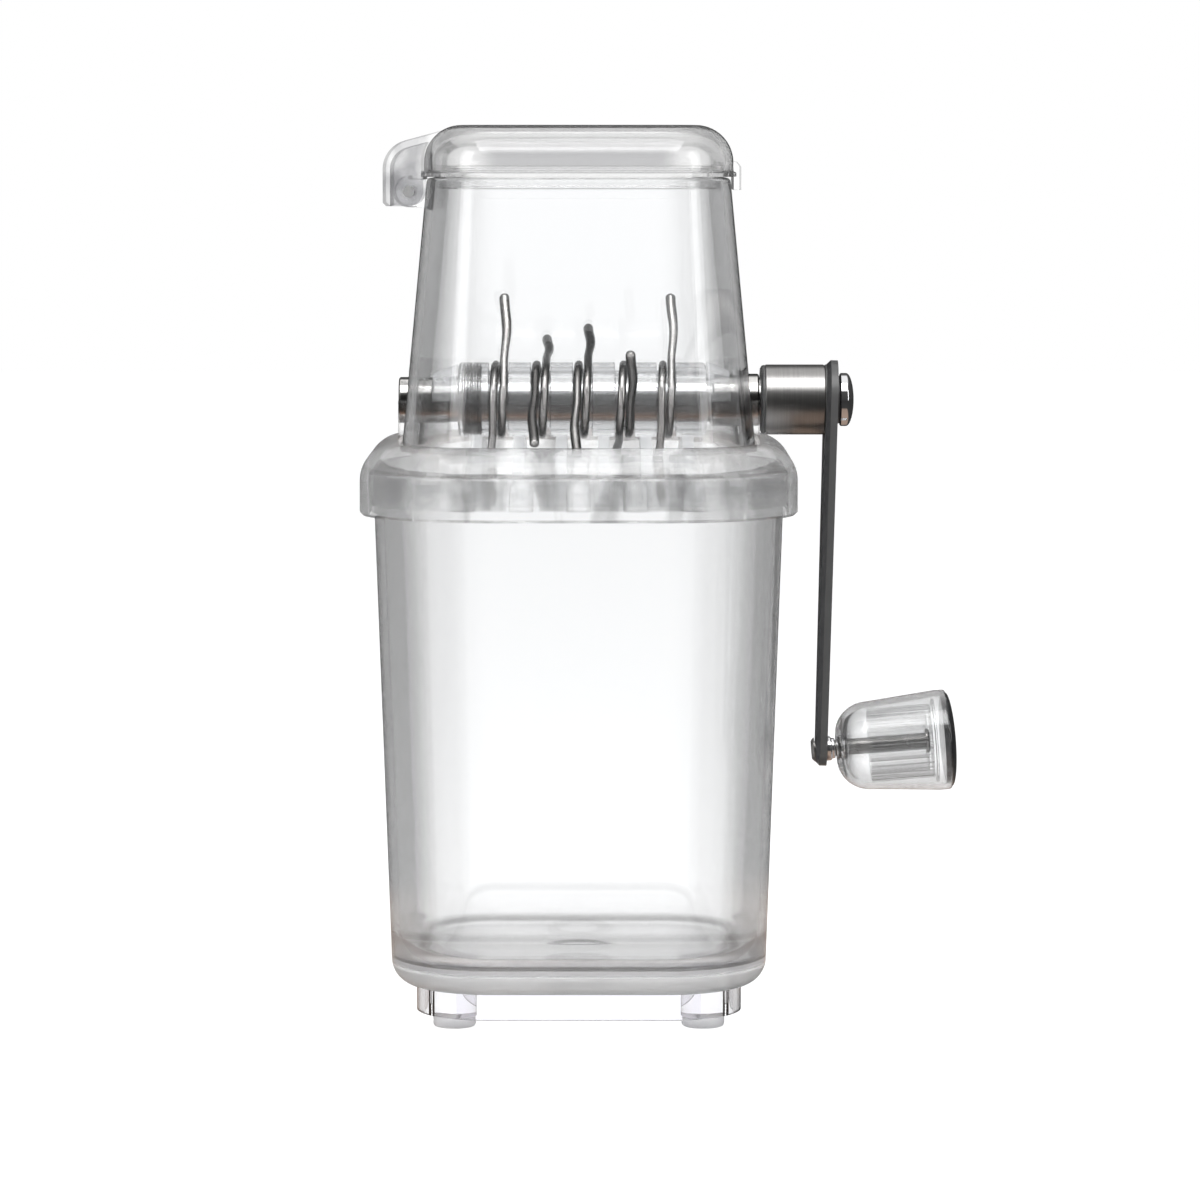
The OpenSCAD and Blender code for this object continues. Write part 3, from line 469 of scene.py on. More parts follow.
class Effect(Graph):
    """A shader node group with number inputs and outputs."""

    def __init__(self, name: str, inputs: dict[str, float] | None = None) -> None:
        """Makes the group with its inputs.

        Args:
            name: Name of the group.
            inputs: Name and default of each input.
        """
        super().__init__(bpy.data.node_groups.new(name, "ShaderNodeTree"))
        for label, value in (inputs or {}).items():
            self.socket(label, "INPUT").default_value = value
        self.given = self.tree.nodes.new("NodeGroupInput").outputs

    def socket(self, label: str, way: str) -> bpy.types.NodeTreeInterfaceSocket:
        """Adds a number socket to the group."""
        return self.tree.interface.new_socket(label, in_out=way, socket_type="NodeSocketFloat")

    def finish(self, results: dict[str, Socket]) -> bpy.types.NodeTree:
        """Adds an output for each result and returns the group."""
        for label in results:
            self.socket(label, "OUTPUT")
        end = self.tree.nodes.new("NodeGroupOutput")
        for label, value in results.items():
            self.tree.links.new(value, end.inputs[label])
        return self.tree


class Look(Graph):
    """The node tree of a new material."""

    def __init__(self, name: str) -> None:
        """Makes the material with an empty tree."""
        self.material = bpy.data.materials.new(name)
        self.material.use_nodes = True
        super().__init__(self.material.node_tree)
        self.tree.nodes.clear()

    def finish(self, shader: Socket) -> bpy.types.Material:
        """Shows a shader and returns the material."""
        self.add("OutputMaterial", {"Surface": shader})
        return self.material


# Surface effects that several finishes share


def moulded_group() -> bpy.types.NodeTree:
    """Makes the effect of a moulded wall: slow waves in its thickness, and fine rubbed marks.

    Returns:
        A group with a Height for a Bump node, and a Roughness.
    """
    graph = Effect("moulded_surface", {
        "Wave Scale": 40.0, "Wave Height": 0.1, "Mark Scale": 300.0, "Mark Height": 0.02,
        "Roughness": 0.05, "Rubbed": 0.05})
    given, at = graph.given, graph.place()
    waves = graph.noise(at, given["Wave Scale"], 1.0)
    marks = graph.noise(graph.stretched(at, UPRIGHT_MARKS), given["Mark Scale"], 4.0)
    wave = graph.math("MULTIPLY", waves, given["Wave Height"])
    mark = graph.math("MULTIPLY", marks, given["Mark Height"])
    rubbed = graph.math("MULTIPLY", graph.span(marks, *RUBBED_MARKS), given["Rubbed"])
    return graph.finish({"Height": graph.math("ADD", wave, mark),
                         "Roughness": graph.math("ADD", given["Roughness"], rubbed)})


def painted_streak_group() -> bpy.types.NodeTree:
    """Makes painted shade for clear plastic: uneven dark upright streaks, fewer at its two ends.

    Returns:
        A group with a Mask, which is 1 in the dark streaks.
    """
    graph = Effect("upright_painted_streaks", {"Scale": 90.0, "Share": 0.6, "Middle": -0.0221})
    given, at = graph.given, graph.place()
    noise = graph.noise(graph.stretched(at, UPRIGHT_STREAKS), given["Scale"], 2.0, 0.6)
    dark = graph.span(noise, *STREAK_EDGES, 0.0, given["Share"])
    off = graph.off(graph.part(at, "X"), given["Middle"])
    fade = graph.span(off, *STREAK_FADE, 1.0, STREAKS_LEFT)
    return graph.finish({"Mask": graph.math("MULTIPLY", dark, fade)})


def worked_metal_group() -> bpy.types.NodeTree:
    """Makes the effect of ground or drawn metal: fine lines across one axis, and dull patches.

    Returns:
        A group with a Height for a Bump node, a Roughness, and a Shade from 0 to 1 for the colour.
    """
    graph = Effect("worked_metal", {
        "Lines X": 1.0, "Lines Y": 1.0, "Lines Z": 1.0, "Line Height": 0.1, "Patch Scale": 60.0,
        "Roughness": 0.2, "Patchy": 0.1})
    given, at = graph.given, graph.place()
    scale = graph.out("CombineXYZ", {0: given["Lines X"], 1: given["Lines Y"], 2: given["Lines Z"]})
    lines = graph.noise(graph.stretched(at, scale), 1.0, 3.0)
    patches = graph.noise(at, given["Patch Scale"], 3.0)
    dull = graph.math("MULTIPLY", patches, given["Patchy"])
    return graph.finish({"Height": graph.math("MULTIPLY", lines, given["Line Height"]),
                         "Roughness": graph.math("ADD", given["Roughness"], dull),
                         "Shade": graph.math("MULTIPLY", lines, patches)})


MOULDED = moulded_group()
WORKED_METAL = worked_metal_group()
PAINTED_STREAKS = painted_streak_group()


# Finishes


def grey(level: float) -> Colour:
    """Gives an even grey."""
    return level, level, level


def greys(*stops: Pair) -> Stops:
    """Gives the stops of a ramp of greys, from pairs of a place and a level."""
    return tuple((at, grey(level)) for at, level in stops)


WHITE, BLACK = grey(1.0), grey(0.0)


@dataclass(frozen=True)
class ClearPlastic:
    """A clear moulded plastic, which refracts and lets the lamps through.

    Attributes:
        name: Name of the material.
        tint: Colour of the plastic.
        haze: Roughness of its surface.
        rubbed: Extra roughness in the rubbed marks.
        wave_scale: Size of the slow waves in the wall, as waves to the metre.
        wave_height: Height of the waves, for the Bump node.
        mark_height: Height of the rubbed marks.
        index: Refractive index.
        edge: Painted shade: the darker colour of the plastic where an upright wall is seen along its
            surface.
        lamp_tint: Share of the lamps' light that passes.
        thin: Share of the view that passes without being bent.
        frost: Roughness of the frosted foot.
        frost_top: Height that the frosted foot reaches, in millimetres.
        mask: Group whose Mask output says where shade is painted into the plastic.
        painted_shade_colour: Colour of the painted shade in those places.
        milky_shade: How milky the painted shade is, as a grey diffuse layer, from 0 to 1.
        bump: Strength of the waves and marks.
    """

    name: str
    tint: Colour = (0.97, 0.975, 0.98)
    haze: float = 0.02
    rubbed: float = 0.04
    wave_scale: float = 45.0
    wave_height: float = 0.25
    mark_height: float = 0.015
    index: float = 1.49
    edge: Colour = (0.80, 0.80, 0.80)
    lamp_tint: float = 0.9
    thin: float = 0.0
    frost: float = 0.0
    frost_top: float = 0.0
    mask: bpy.types.NodeTree | None = None
    painted_shade_colour: Colour = WHITE
    milky_shade: float = 0.0
    bump: float = 0.35

    def make(self) -> bpy.types.Material:
        """Builds the material."""
        look = Look(self.name)
        skin = look.add("Group", {
            "Wave Scale": self.wave_scale, "Wave Height": self.wave_height,
            "Mark Height": self.mark_height, "Roughness": self.haze, "Rubbed": self.rubbed,
        }, node_tree=MOULDED).outputs
        # Painted shade: upright walls seen along their surface take the edge colour.
        level = look.math("ABSOLUTE", look.part(look.out("NewGeometry", which="Normal"), "Z"))
        upright = look.math("SUBTRACT", 1.0, level)
        painted_edge_shade = look.math("MULTIPLY", look.span(look.facing(), *PAINTED_EDGE_VIEW), upright)
        colour = look.blend(painted_edge_shade, self.tint, self.edge)
        unbent = WHITE
        # Painted shade: where the mask is set, the plastic and the view straight through it take the
        # shade colour.
        if self.mask:
            where = look.out("Group", node_tree=self.mask)
            colour = look.blend(where, colour, self.painted_shade_colour)
            unbent = look.blend(where, WHITE, self.painted_shade_colour)
        rough = skin["Roughness"]
        if self.frost:
            foot = look.span(look.part(look.place(), "Z"), (self.frost_top - 1) * MM,
                             self.frost_top * MM, self.frost, 0.0)
            rough = look.math("MAXIMUM", rough, foot)
        plastic = look.out("BsdfPrincipled", {
            "Base Color": colour, "Roughness": rough, "IOR": self.index, "Transmission Weight": 1.0,
            "Normal": look.bump(skin["Height"], self.bump)})
        seen = look.shaders(self.thin, plastic, look.out("BsdfTransparent", {"Color": unbent}))
        # Painted shade: a milky grey diffuse layer in the masked places.
        if self.mask and self.milky_shade:
            milky_shade = look.out("BsdfDiffuse", {"Color": self.painted_shade_colour})
            seen = look.shaders(look.math("MULTIPLY", where, self.milky_shade), seen, milky_shade)
        through = look.out("BsdfTransparent", {"Color": [self.lamp_tint * c for c in self.tint]})
        shadow = look.out("LightPath", which="Is Shadow Ray")
        return look.finish(look.shaders(shadow, seen, through))


@dataclass(frozen=True)
class ClearFilm:
    """A clear plastic so thin or so deep inside others that it hardly bends the light.

    Attributes:
        name: Name of the material.
        colour: Colour of its edges.
        least: How much of it shows where it is seen square on.
        most: How much of it shows where it is seen along its surface.
        rise: How late it starts to show more, as a power.
        roughness: Roughness of its surface.
        bump: Strength of the waves and marks.
    """

    name: str
    colour: Colour = (0.80, 0.81, 0.82)
    least: float = 0.10
    most: float = 0.65
    rise: float = 1.0
    roughness: float = 0.08
    bump: float = 0.3

    def make(self) -> bpy.types.Material:
        """Builds the material."""
        look = Look(self.name)
        skin = look.add("Group", {"Roughness": self.roughness}, node_tree=MOULDED).outputs
        shown = look.span(look.math("POWER", look.facing(), self.rise), 0.0, 1.0, self.least, self.most)
        return look.finish(look.out("BsdfPrincipled", {
            "Base Color": self.colour, "Roughness": skin["Roughness"], "Alpha": shown,
            "Normal": look.bump(skin["Height"], self.bump)}))


@dataclass(frozen=True)
class Metal:
    """A bare metal with fine lines from grinding, turning or drawing.

    Attributes:
        name: Name of the material.
        light: Colour of its bright places.
        dark: Colour of its dull places.
        lines: How finely the lines follow each other along X, Y and Z.
        line_height: Height of the lines.
        roughness: Roughness of the bright places.
        patchy: Extra roughness of the dull places.
        painted_reflection_bands: Painted reflection: shades from the places that look down, at 0, to
            those that look up, at 1, which darken the colour as dark and bright surroundings would.
        rim: Share of the colour that turns to black, as painted shade, where the metal is seen along
            its surface.
        bump: Strength of the lines.
    """

    name: str
    light: Colour
    dark: Colour
    lines: Place = (2500.0, 60.0, 60.0)
    line_height: float = 0.08
    roughness: float = 0.18
    patchy: float = 0.12
    painted_reflection_bands: Stops = greys((0.0, 1.0), (1.0, 1.0))
    rim: float = 0.0
    bump: float = 0.25

    def make(self) -> bpy.types.Material:
        """Builds the material."""
        look = Look(self.name)
        skin = look.add("Group", {
            "Lines X": self.lines[0], "Lines Y": self.lines[1], "Lines Z": self.lines[2],
            "Line Height": self.line_height, "Roughness": self.roughness, "Patchy": self.patchy,
        }, node_tree=WORKED_METAL).outputs
        colour = look.blend(look.span(skin["Shade"], *METAL_SHADES), self.dark, self.light)
        # Painted reflection: the colour is darkened by shades that follow how far the surface looks up
        # or down.
        upward = look.span(look.part(look.out("NewGeometry", which="Normal"), "Z"), -1.0, 1.0)
        with_painted_reflection = look.blend(1.0, colour, look.ramp(upward, self.painted_reflection_bands), blend_type="MULTIPLY")
        # Painted shade: the colour goes dark where the metal is seen along its surface.
        painted_rim_shade = look.span(look.facing(), *PAINTED_RIM_VIEW, 0.0, self.rim)
        return look.finish(look.out("BsdfPrincipled", {
            "Base Color": look.blend(painted_rim_shade, with_painted_reflection, BLACK), "Metallic": 1.0,
            "Roughness": skin["Roughness"], "Normal": look.bump(skin["Height"], self.bump, GRAIN)}))


@dataclass(frozen=True)
class Opaque:
    """A paint, rubber or solid plastic with a fine grain.

    Attributes:
        name: Name of the material.
        colour: Colour of the surface.
        worn: Colour that the grain mixes in.
        roughness: Roughness of the surface.
        grain_scale: Fineness of the grain.
        grain_height: Height of the grain.
        coat: Weight of a clear coat.
        milky: Weight of the light that goes through the surface.
        rubbed: Painted light: the lighter colour of the faces that don't look along X, which stands in
            for light on those faces, if they differ.
        bump: Strength of the grain.
    """

    name: str
    colour: Colour
    worn: Colour
    roughness: float = 0.4
    grain_scale: float = 900.0
    grain_height: float = 0.05
    coat: float = 0.0
    milky: float = 0.0
    rubbed: Colour | None = None
    bump: float = 0.3

    def make(self) -> bpy.types.Material:
        """Builds the material."""
        look = Look(self.name)
        skin = look.add("Group", {
            **{f"Lines {axis}": self.grain_scale for axis in "XYZ"}, "Line Height": self.grain_height,
            "Roughness": self.roughness}, node_tree=WORKED_METAL).outputs
        colour = look.blend(skin["Shade"], self.colour, self.worn)
        # Painted light: the faces that don't look along X are made lighter.
        if self.rubbed:
            along = look.part(look.out("TexCoord", which="Normal"), "X")
            painted_light = look.span(look.math("ABSOLUTE", along), *PAINTED_LIGHT_FACES, 1.0, 0.0)
            colour = look.blend(painted_light, colour, self.rubbed)
        return look.finish(look.out("BsdfPrincipled", {
            "Base Color": colour, "Roughness": skin["Roughness"], "Coat Weight": self.coat,
            "Transmission Weight": self.milky, "Normal": look.bump(skin["Height"], self.bump, GRAIN)}))


# The edge colours are painted shade on upright walls seen along their surface, and the shade colours
# are painted shade where each mask is set.
CLEAR_CUP = ClearPlastic("clear_cup", haze=0.05, wave_scale=18.0, wave_height=0.12, edge=grey(0.52),
                         thin=0.25, frost=0.30, painted_shade_colour=grey(0.15), milky_shade=0.7)
CLEAR_HOPPER = ClearPlastic("clear_hopper", haze=0.0, rubbed=0.0, wave_scale=18.0, wave_height=0.05,
                            edge=grey(0.46), thin=0.08)
CLEAR_BASE = ClearPlastic("clear_base", tint=(0.955, 0.95, 0.985))
# The collar's streaks are painted shade.
CRYSTAL = ClearPlastic("clear_collar", grey(0.99), 0.0, 0.02, 110.0, 1.1, edge=grey(0.98), thin=0.42,
                       painted_shade_colour=grey(0.40), mask=PAINTED_STREAKS)
CLEAR_LID = ClearPlastic("clear_lid", grey(0.97), 0.0, 0.03, 40.0, 0.2, edge=grey(0.76), thin=0.08,
                         painted_shade_colour=(0.60, 0.60, 0.61))
CLEAR_COMB = ClearFilm("clear_comb")
CLEAR_ROLLER = ClearPlastic("clear_roller", (0.93, 0.94, 0.95), 0.01, 0.05)
CLEAR_KNOB = ClearPlastic("clear_knob", haze=0.01, rubbed=0.03, wave_scale=60.0, wave_height=0.04,
                          edge=grey(0.36), thin=0.10)
CLEAR_SLEEVE = ClearFilm("clear_sleeve", grey(0.30), least=0.02, most=0.95, rise=1.6)
# Painted reflection for the shaft and bushes: dark below, a brown stripe, dark in the middle, bright
# above and a dark line at the top.
SHAFT_PAINTED_REFLECTION = (
    (0.0, grey(0.02)), (0.10, (0.04, 0.03, 0.03)), (0.20, (0.42, 0.26, 0.18)),
    (0.28, (0.12, 0.10, 0.09)),
    *greys((0.45, 0.13), (0.60, 0.22), (0.72, 0.70), (0.82, 1.0), (0.93, 0.85), (1.0, 0.12)),
)
PIN_STEEL = Metal("pin_steel", grey(0.92), grey(0.84), roughness=0.45)
SHAFT_STEEL = Metal("steel", (0.92, 0.91, 0.90), (0.80, 0.79, 0.78), roughness=0.12,
                    painted_reflection_bands=SHAFT_PAINTED_REFLECTION)
BUSH_STEEL = Metal("bush_steel", (0.95, 0.94, 0.92), (0.82, 0.80, 0.78), roughness=0.10,
                   painted_reflection_bands=SHAFT_PAINTED_REFLECTION)
# The wire's rim paints shade along the edges of the wire.
WIRE_STEEL = Metal("wire_steel", (0.62, 0.61, 0.60), (0.40, 0.38, 0.37), grey(90.0), 0.15, 0.14, 0.16,
                   rim=0.96)
HUB_STEEL = Metal("hub_steel", (0.40, 0.39, 0.385), (0.30, 0.295, 0.29), (3200.0, 80.0, 80.0),
                  0.12, 0.24, 0.1)
SPINDLE_STEEL = Metal("spindle_steel", (0.30, 0.29, 0.28), (0.18, 0.175, 0.17), roughness=0.22)
CHROME = Metal("nut_chrome", (0.86, 0.86, 0.87), (0.80, 0.80, 0.81), grey(120.0), 0.01, 0.04, 0.03)
# Its rubbed colour is painted light on the faces that don't look along X.
SATIN_BLACK = Opaque("black_steel", (0.012, 0.012, 0.013), (0.05, 0.05, 0.052), 0.34, 700.0, 0.05, 0.15,
                     rubbed=grey(0.075))
CAP_BLACK = Opaque("cap_black", (0.010, 0.010, 0.011), (0.03, 0.03, 0.032), 0.12, 500.0, 0.01, 0.5)
SOFT_PAD = Opaque("soft_pad", (0.80, 0.80, 0.81), grey(0.90), 0.45, 400.0, 0.05, 0.0, 0.75)

Finish = ClearPlastic | ClearFilm | Metal | Opaque

made: dict[str, bpy.types.Material] = {}


def dress(piece: Piece, finish: Finish) -> None:
    """Gives a piece one finish, which is built the first time that it is asked for."""
    if finish.name not in made:
        made[finish.name] = finish.make()
    piece.data.materials.clear()
    piece.data.materials.append(made[finish.name])


def fit_in(piece: Piece, body: str, finish: Finish,
           instead_of: Iterable[str] = ()) -> None:
    """Dresses a finished piece and makes it move with its body.

    Args:
        piece: The piece, in place.
        body: Body that it rides on.
        finish: Its finish.
        instead_of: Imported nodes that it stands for.
    """
    dress(piece, finish)
    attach(piece, body)
    if instead_of:
        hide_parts(*instead_of)
    log.info("%s: %d faces, on %s", piece.name, len(piece.data.polygons), body)


def keep_node(node: str, finish: Finish) -> None:
    """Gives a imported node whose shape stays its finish."""
    dress(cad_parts[node], finish)
    log.info("%s: packed node, dressed", node)


# Where the sub-assemblies meet


ABOUT_X = Matrix.Rotation(radians(90), 4, "X")
ABOUT_Y = Matrix.Rotation(radians(90), 4, "Y")
ABOUT_Z = Matrix.Rotation(radians(90), 4, "Z")
ORIGIN = Matrix.Identity(4)


@dataclass(frozen=True)
class Layout:
    """Places and sizes that more than one sub-assembly uses, in millimetres.

    Attributes:
        body_x: Middle of the moulded bodies along X.
        deeper: How much deeper than wide every moulded body is.
        pad: Height of the foot pads.
        cup_z: Underside of the cup.
        rim_z: Rim of the cup.
        collar_top: Upper face of the collar.
        seat_z: Seat of the hopper in the collar.
        hopper_top: Rim of the hopper.
        lid_z: Underside of the lid's flange.
        lid_top: Upper face of the lid.
        axis_z: Height of the shaft's axis.
        saddle_out: Outer end of the saddles, from the middle of the body.
        roller_ends: Left and right ends of the roller, from the middle of the body.
        pin_x: Place of the hinge pin, from the middle of the body.
        pin_z: Height of the hinge pin.
        gap: Gap between pieces that move past each other.
        fit: Gap between pieces that are pressed together.
        seam: Gap between pieces that stand on each other.
        clear: How far a cutter reaches past what it cuts.
        shaft_r: Radius of the shaft.
        stud_r: Radius of the shaft's stud, which carries the washer and the nut.
        left_bush: Length of the left bush.
        pin_reach: How far the hinge pin's bores are cut, to each side.
    """

    body_x: float = -22.081
    deeper: float = 3.0
    pad: float = 3.0
    cup_z: float = 10.0
    rim_z: float = 148.0
    collar_top: float = 155.5
    seat_z: float = 153.5
    hopper_top: float = 226.0
    lid_z: float = 226.3
    lid_top: float = 240.0
    axis_z: float = 165.9
    saddle_out: float = 48.8
    roller_ends: Pair = (-33.0, 35.0)
    pin_x: float = -45.5
    pin_z: float = 222.3
    gap: float = 0.3
    fit: float = 0.04
    seam: float = 0.05
    clear: float = 1.0
    shaft_r: float = 6.0
    stud_r: float = 3.5
    left_bush: float = 8.3
    pin_reach: float = 20.0

    def at_body(self, x: float = 0.0, y: float = 0.0, z: float = 0.0) -> Matrix:
        """Gives a place measured from the middle of the body."""
        return shifted(self.body_x + x, y, z)

    def on_shaft(self, x: float) -> Matrix:
        """Gives a frame whose Z runs along the shaft, from a place on its axis."""
        return self.at_body(x, 0.0, self.axis_z) @ ABOUT_Y

    def on_pin(self) -> Matrix:
        """Gives the hinge pin's frame: Z runs along the pin, and Y is up."""
        return self.at_body(self.pin_x, 0.0, self.pin_z) @ ABOUT_X

    def pin_in_body(self) -> Matrix:
        """Gives the hinge pin's frame in the body's own middle."""
        return self.at_body().inverted() @ self.on_pin()


LAYOUT = Layout()


@dataclass
class Cup:
    """The clear cup, its floor ring, and the skirt with four feet below it."""

    width: float = 109.8
    wall: float = 2.4
    floor: float = 6.3
    corner_r: float = 32.0
    taper: float = 2.0
    foot_r: float = 7.0
    inner_r: float = 9.0
    core_r: float = 8.0
    ring: Place = (5.5, 9.0, 0.6)
    skirt_width: float = 87.2
    skirt_wall: float = 2.0
    foot_r_out: float = 6.0
    pad_r: float = 5.7
    foot_at: Pair = (33.2, 34.7)
    # Painted shade in the cup's plastic: a soft line round the floor, the floor's ring and the cup
    # below the floor.
    shade_line_r: float = 20.1
    shade_line_half: float = 2.6
    foot_shade_share: float = 0.08
    rim_flat: float = 0.1
    round_steps: int = 14
    rim_steps: int = 5
    skirt_edge: float = 0.35
    pad_hollow: Place = (2.6, 1.8, 0.5)
    pad_edges: Pair = (1.0, 0.4)

    @property
    def flat(self) -> Pair:
        """Half lengths of the straight stretches between the corners."""
        half = self.width / 2 - self.corner_r
        return half, half + LAYOUT.deeper / 2

    def half_width(self, z: float) -> float:
        """Half width of the cup's outer wall at a height."""
        return self.width / 2 - (LAYOUT.rim_z - z) * tan(radians(self.taper))

    def shell(self) -> Piece:
        """Sweeps the cup's wall and floor, and adds the raised ring on the floor."""
        lean = (1 - sin(radians(self.taper))) / cos(radians(self.taper))
        floor_z = LAYOUT.cup_z + self.floor
        foot_x = self.half_width(LAYOUT.cup_z) - self.foot_r * lean
        inner_x = self.half_width(floor_z) - self.wall - self.inner_r * lean
        rim_r = self.wall / 2 - self.rim_flat
        rim_z = LAYOUT.rim_z - rim_r
        profile = [
            (self.flat[0] + self.core_r, LAYOUT.cup_z),
            *arc((foot_x, LAYOUT.cup_z + self.foot_r), self.foot_r, -90, -self.taper, self.round_steps),
            *arc((self.width / 2 - rim_r, rim_z), rim_r, 0, 90, self.rim_steps),
            *arc((self.width / 2 - self.wall + rim_r, rim_z), rim_r, 90, 180, self.rim_steps),
            *arc((inner_x, floor_z + self.inner_r), self.inner_r, -self.taper, -90, self.round_steps),
            (self.flat[0] + self.core_r, floor_z),
        ]
        piece = swept("cup_shell", profile, self.flat, closed=False)
        ring_in, ring_out, ring_h = self.ring
        middle = (ring_in + ring_out) / 2
        half = (ring_out - ring_in) / 2
        dome = [(middle + half * cos(radians(t)), floor_z + ring_h * sin(radians(t)))
                for t in RING_ANGLES]
        under = floor_z - LAYOUT.clear
        ring = turned("floor_ring", [(ring_out, under), *dome, (ring_in, under)], ORIGIN)
        combine(piece, ring, Join.ADD)
        soften(piece, 0)
        return place(piece, LAYOUT.at_body())

    def skirt(self) -> Piece:
        """Sweeps the skirt and adds the four feet to it."""
        low, high, half = LAYOUT.pad, LAYOUT.cup_z - LAYOUT.seam, self.skirt_width / 2
        profile = [(half, low), (half, high), (half - self.skirt_wall, high),
                   (half - self.skirt_wall, low)]
        piece = swept("base_skirt_shell", profile, self.flat, closed=True)
        for sx, sy in ((-1, -1), (1, -1), (-1, 1), (1, 1)):
            at = shifted(sx * self.foot_at[0], sy * self.foot_at[1])
            combine(piece, turned("foot", rod(self.foot_r_out, low, high), at), Join.ADD)
        soften(piece, self.skirt_edge)
        return place(piece, LAYOUT.at_body())

    def pad(self, name: str, sx: int, sy: int) -> Piece:
        """Turns one soft pad with a rounded lower edge and a shallow cup in its underside."""
        r, high = self.pad_r, LAYOUT.pad - LAYOUT.seam
        flat, slope, depth = self.pad_hollow
        low_r, high_r = self.pad_edges
        profile = [(0, depth), (r - flat, depth), (r - slope, 0),
                   *arc((r - low_r, low_r), low_r, -90, 0, 5),
                   *arc((r - high_r, high - high_r), high_r, 0, 90, 3), (0, high)]
        at = LAYOUT.at_body(sx * self.foot_at[0], sy * self.foot_at[1])
        return turned(name, profile, at, FINE_STEPS, 0)

    def floor_painted_shade(self) -> bpy.types.NodeTree:
        """Makes the mask of painted shade: a soft line round the floor's outline, its ring, and a share
        below the floor.
        """
        graph = Effect("floor_painted_shade")
        at = graph.place()
        on_plane = graph.out("Mapping", {
            "Vector": at, "Location": (-LAYOUT.body_x * MM, 0.0, 0.0), "Scale": (1.0, 1.0, 0.0)})
        past = graph.vector("SUBTRACT", graph.vector("ABSOLUTE", on_plane),
                            (self.flat[0] * MM, self.flat[1] * MM, 0.0))
        away = graph.vector("LENGTH", graph.vector("MAXIMUM", past), which="Value")
        line = graph.soft_line(graph.off(away, self.shade_line_r * MM), 0.0, self.shade_line_half * MM)
        ring_in, ring_out, _ = self.ring
        out = graph.vector("LENGTH", on_plane, which="Value")
        ring = graph.soft_line(graph.off(out, (ring_in + ring_out) / 2 * MM), 0.0,
                               (ring_out - ring_in) * MM)
        height = graph.part(at, "Z")
        floor_z = (LAYOUT.cup_z + self.floor) * MM
        on_floor = graph.math("LESS_THAN", graph.off(height, floor_z), self.wall * MM)
        marks = graph.math("MULTIPLY", graph.math("MAXIMUM", line, ring), on_floor)
        # Painted shade on the cup below the floor's upper face.
        below = graph.math("LESS_THAN", height, floor_z - MM)
        foot = graph.math("MULTIPLY", below, self.foot_shade_share)
        return graph.finish({"Mask": graph.math("MAXIMUM", marks, foot)})

    def build(self) -> None:
        """Makes all the pieces of the cup's body."""
        finish = replace(CLEAR_CUP, mask=self.floor_painted_shade(), frost_top=LAYOUT.cup_z + self.floor)
        fit_in(self.shell(), "cup", finish, ["cup"])
        fit_in(self.skirt(), "cup", CLEAR_BASE, ["base_skirt"])
        for depth, sy in (("front", -1), ("rear", 1)):
            for side, sx in (("left", -1), ("right", 1)):
                pad = self.pad(f"soft_pad_{depth}_{side}", sx, sy)
                fit_in(pad, "cup", SOFT_PAD, [f"foot_pad_{depth}_{side}"])


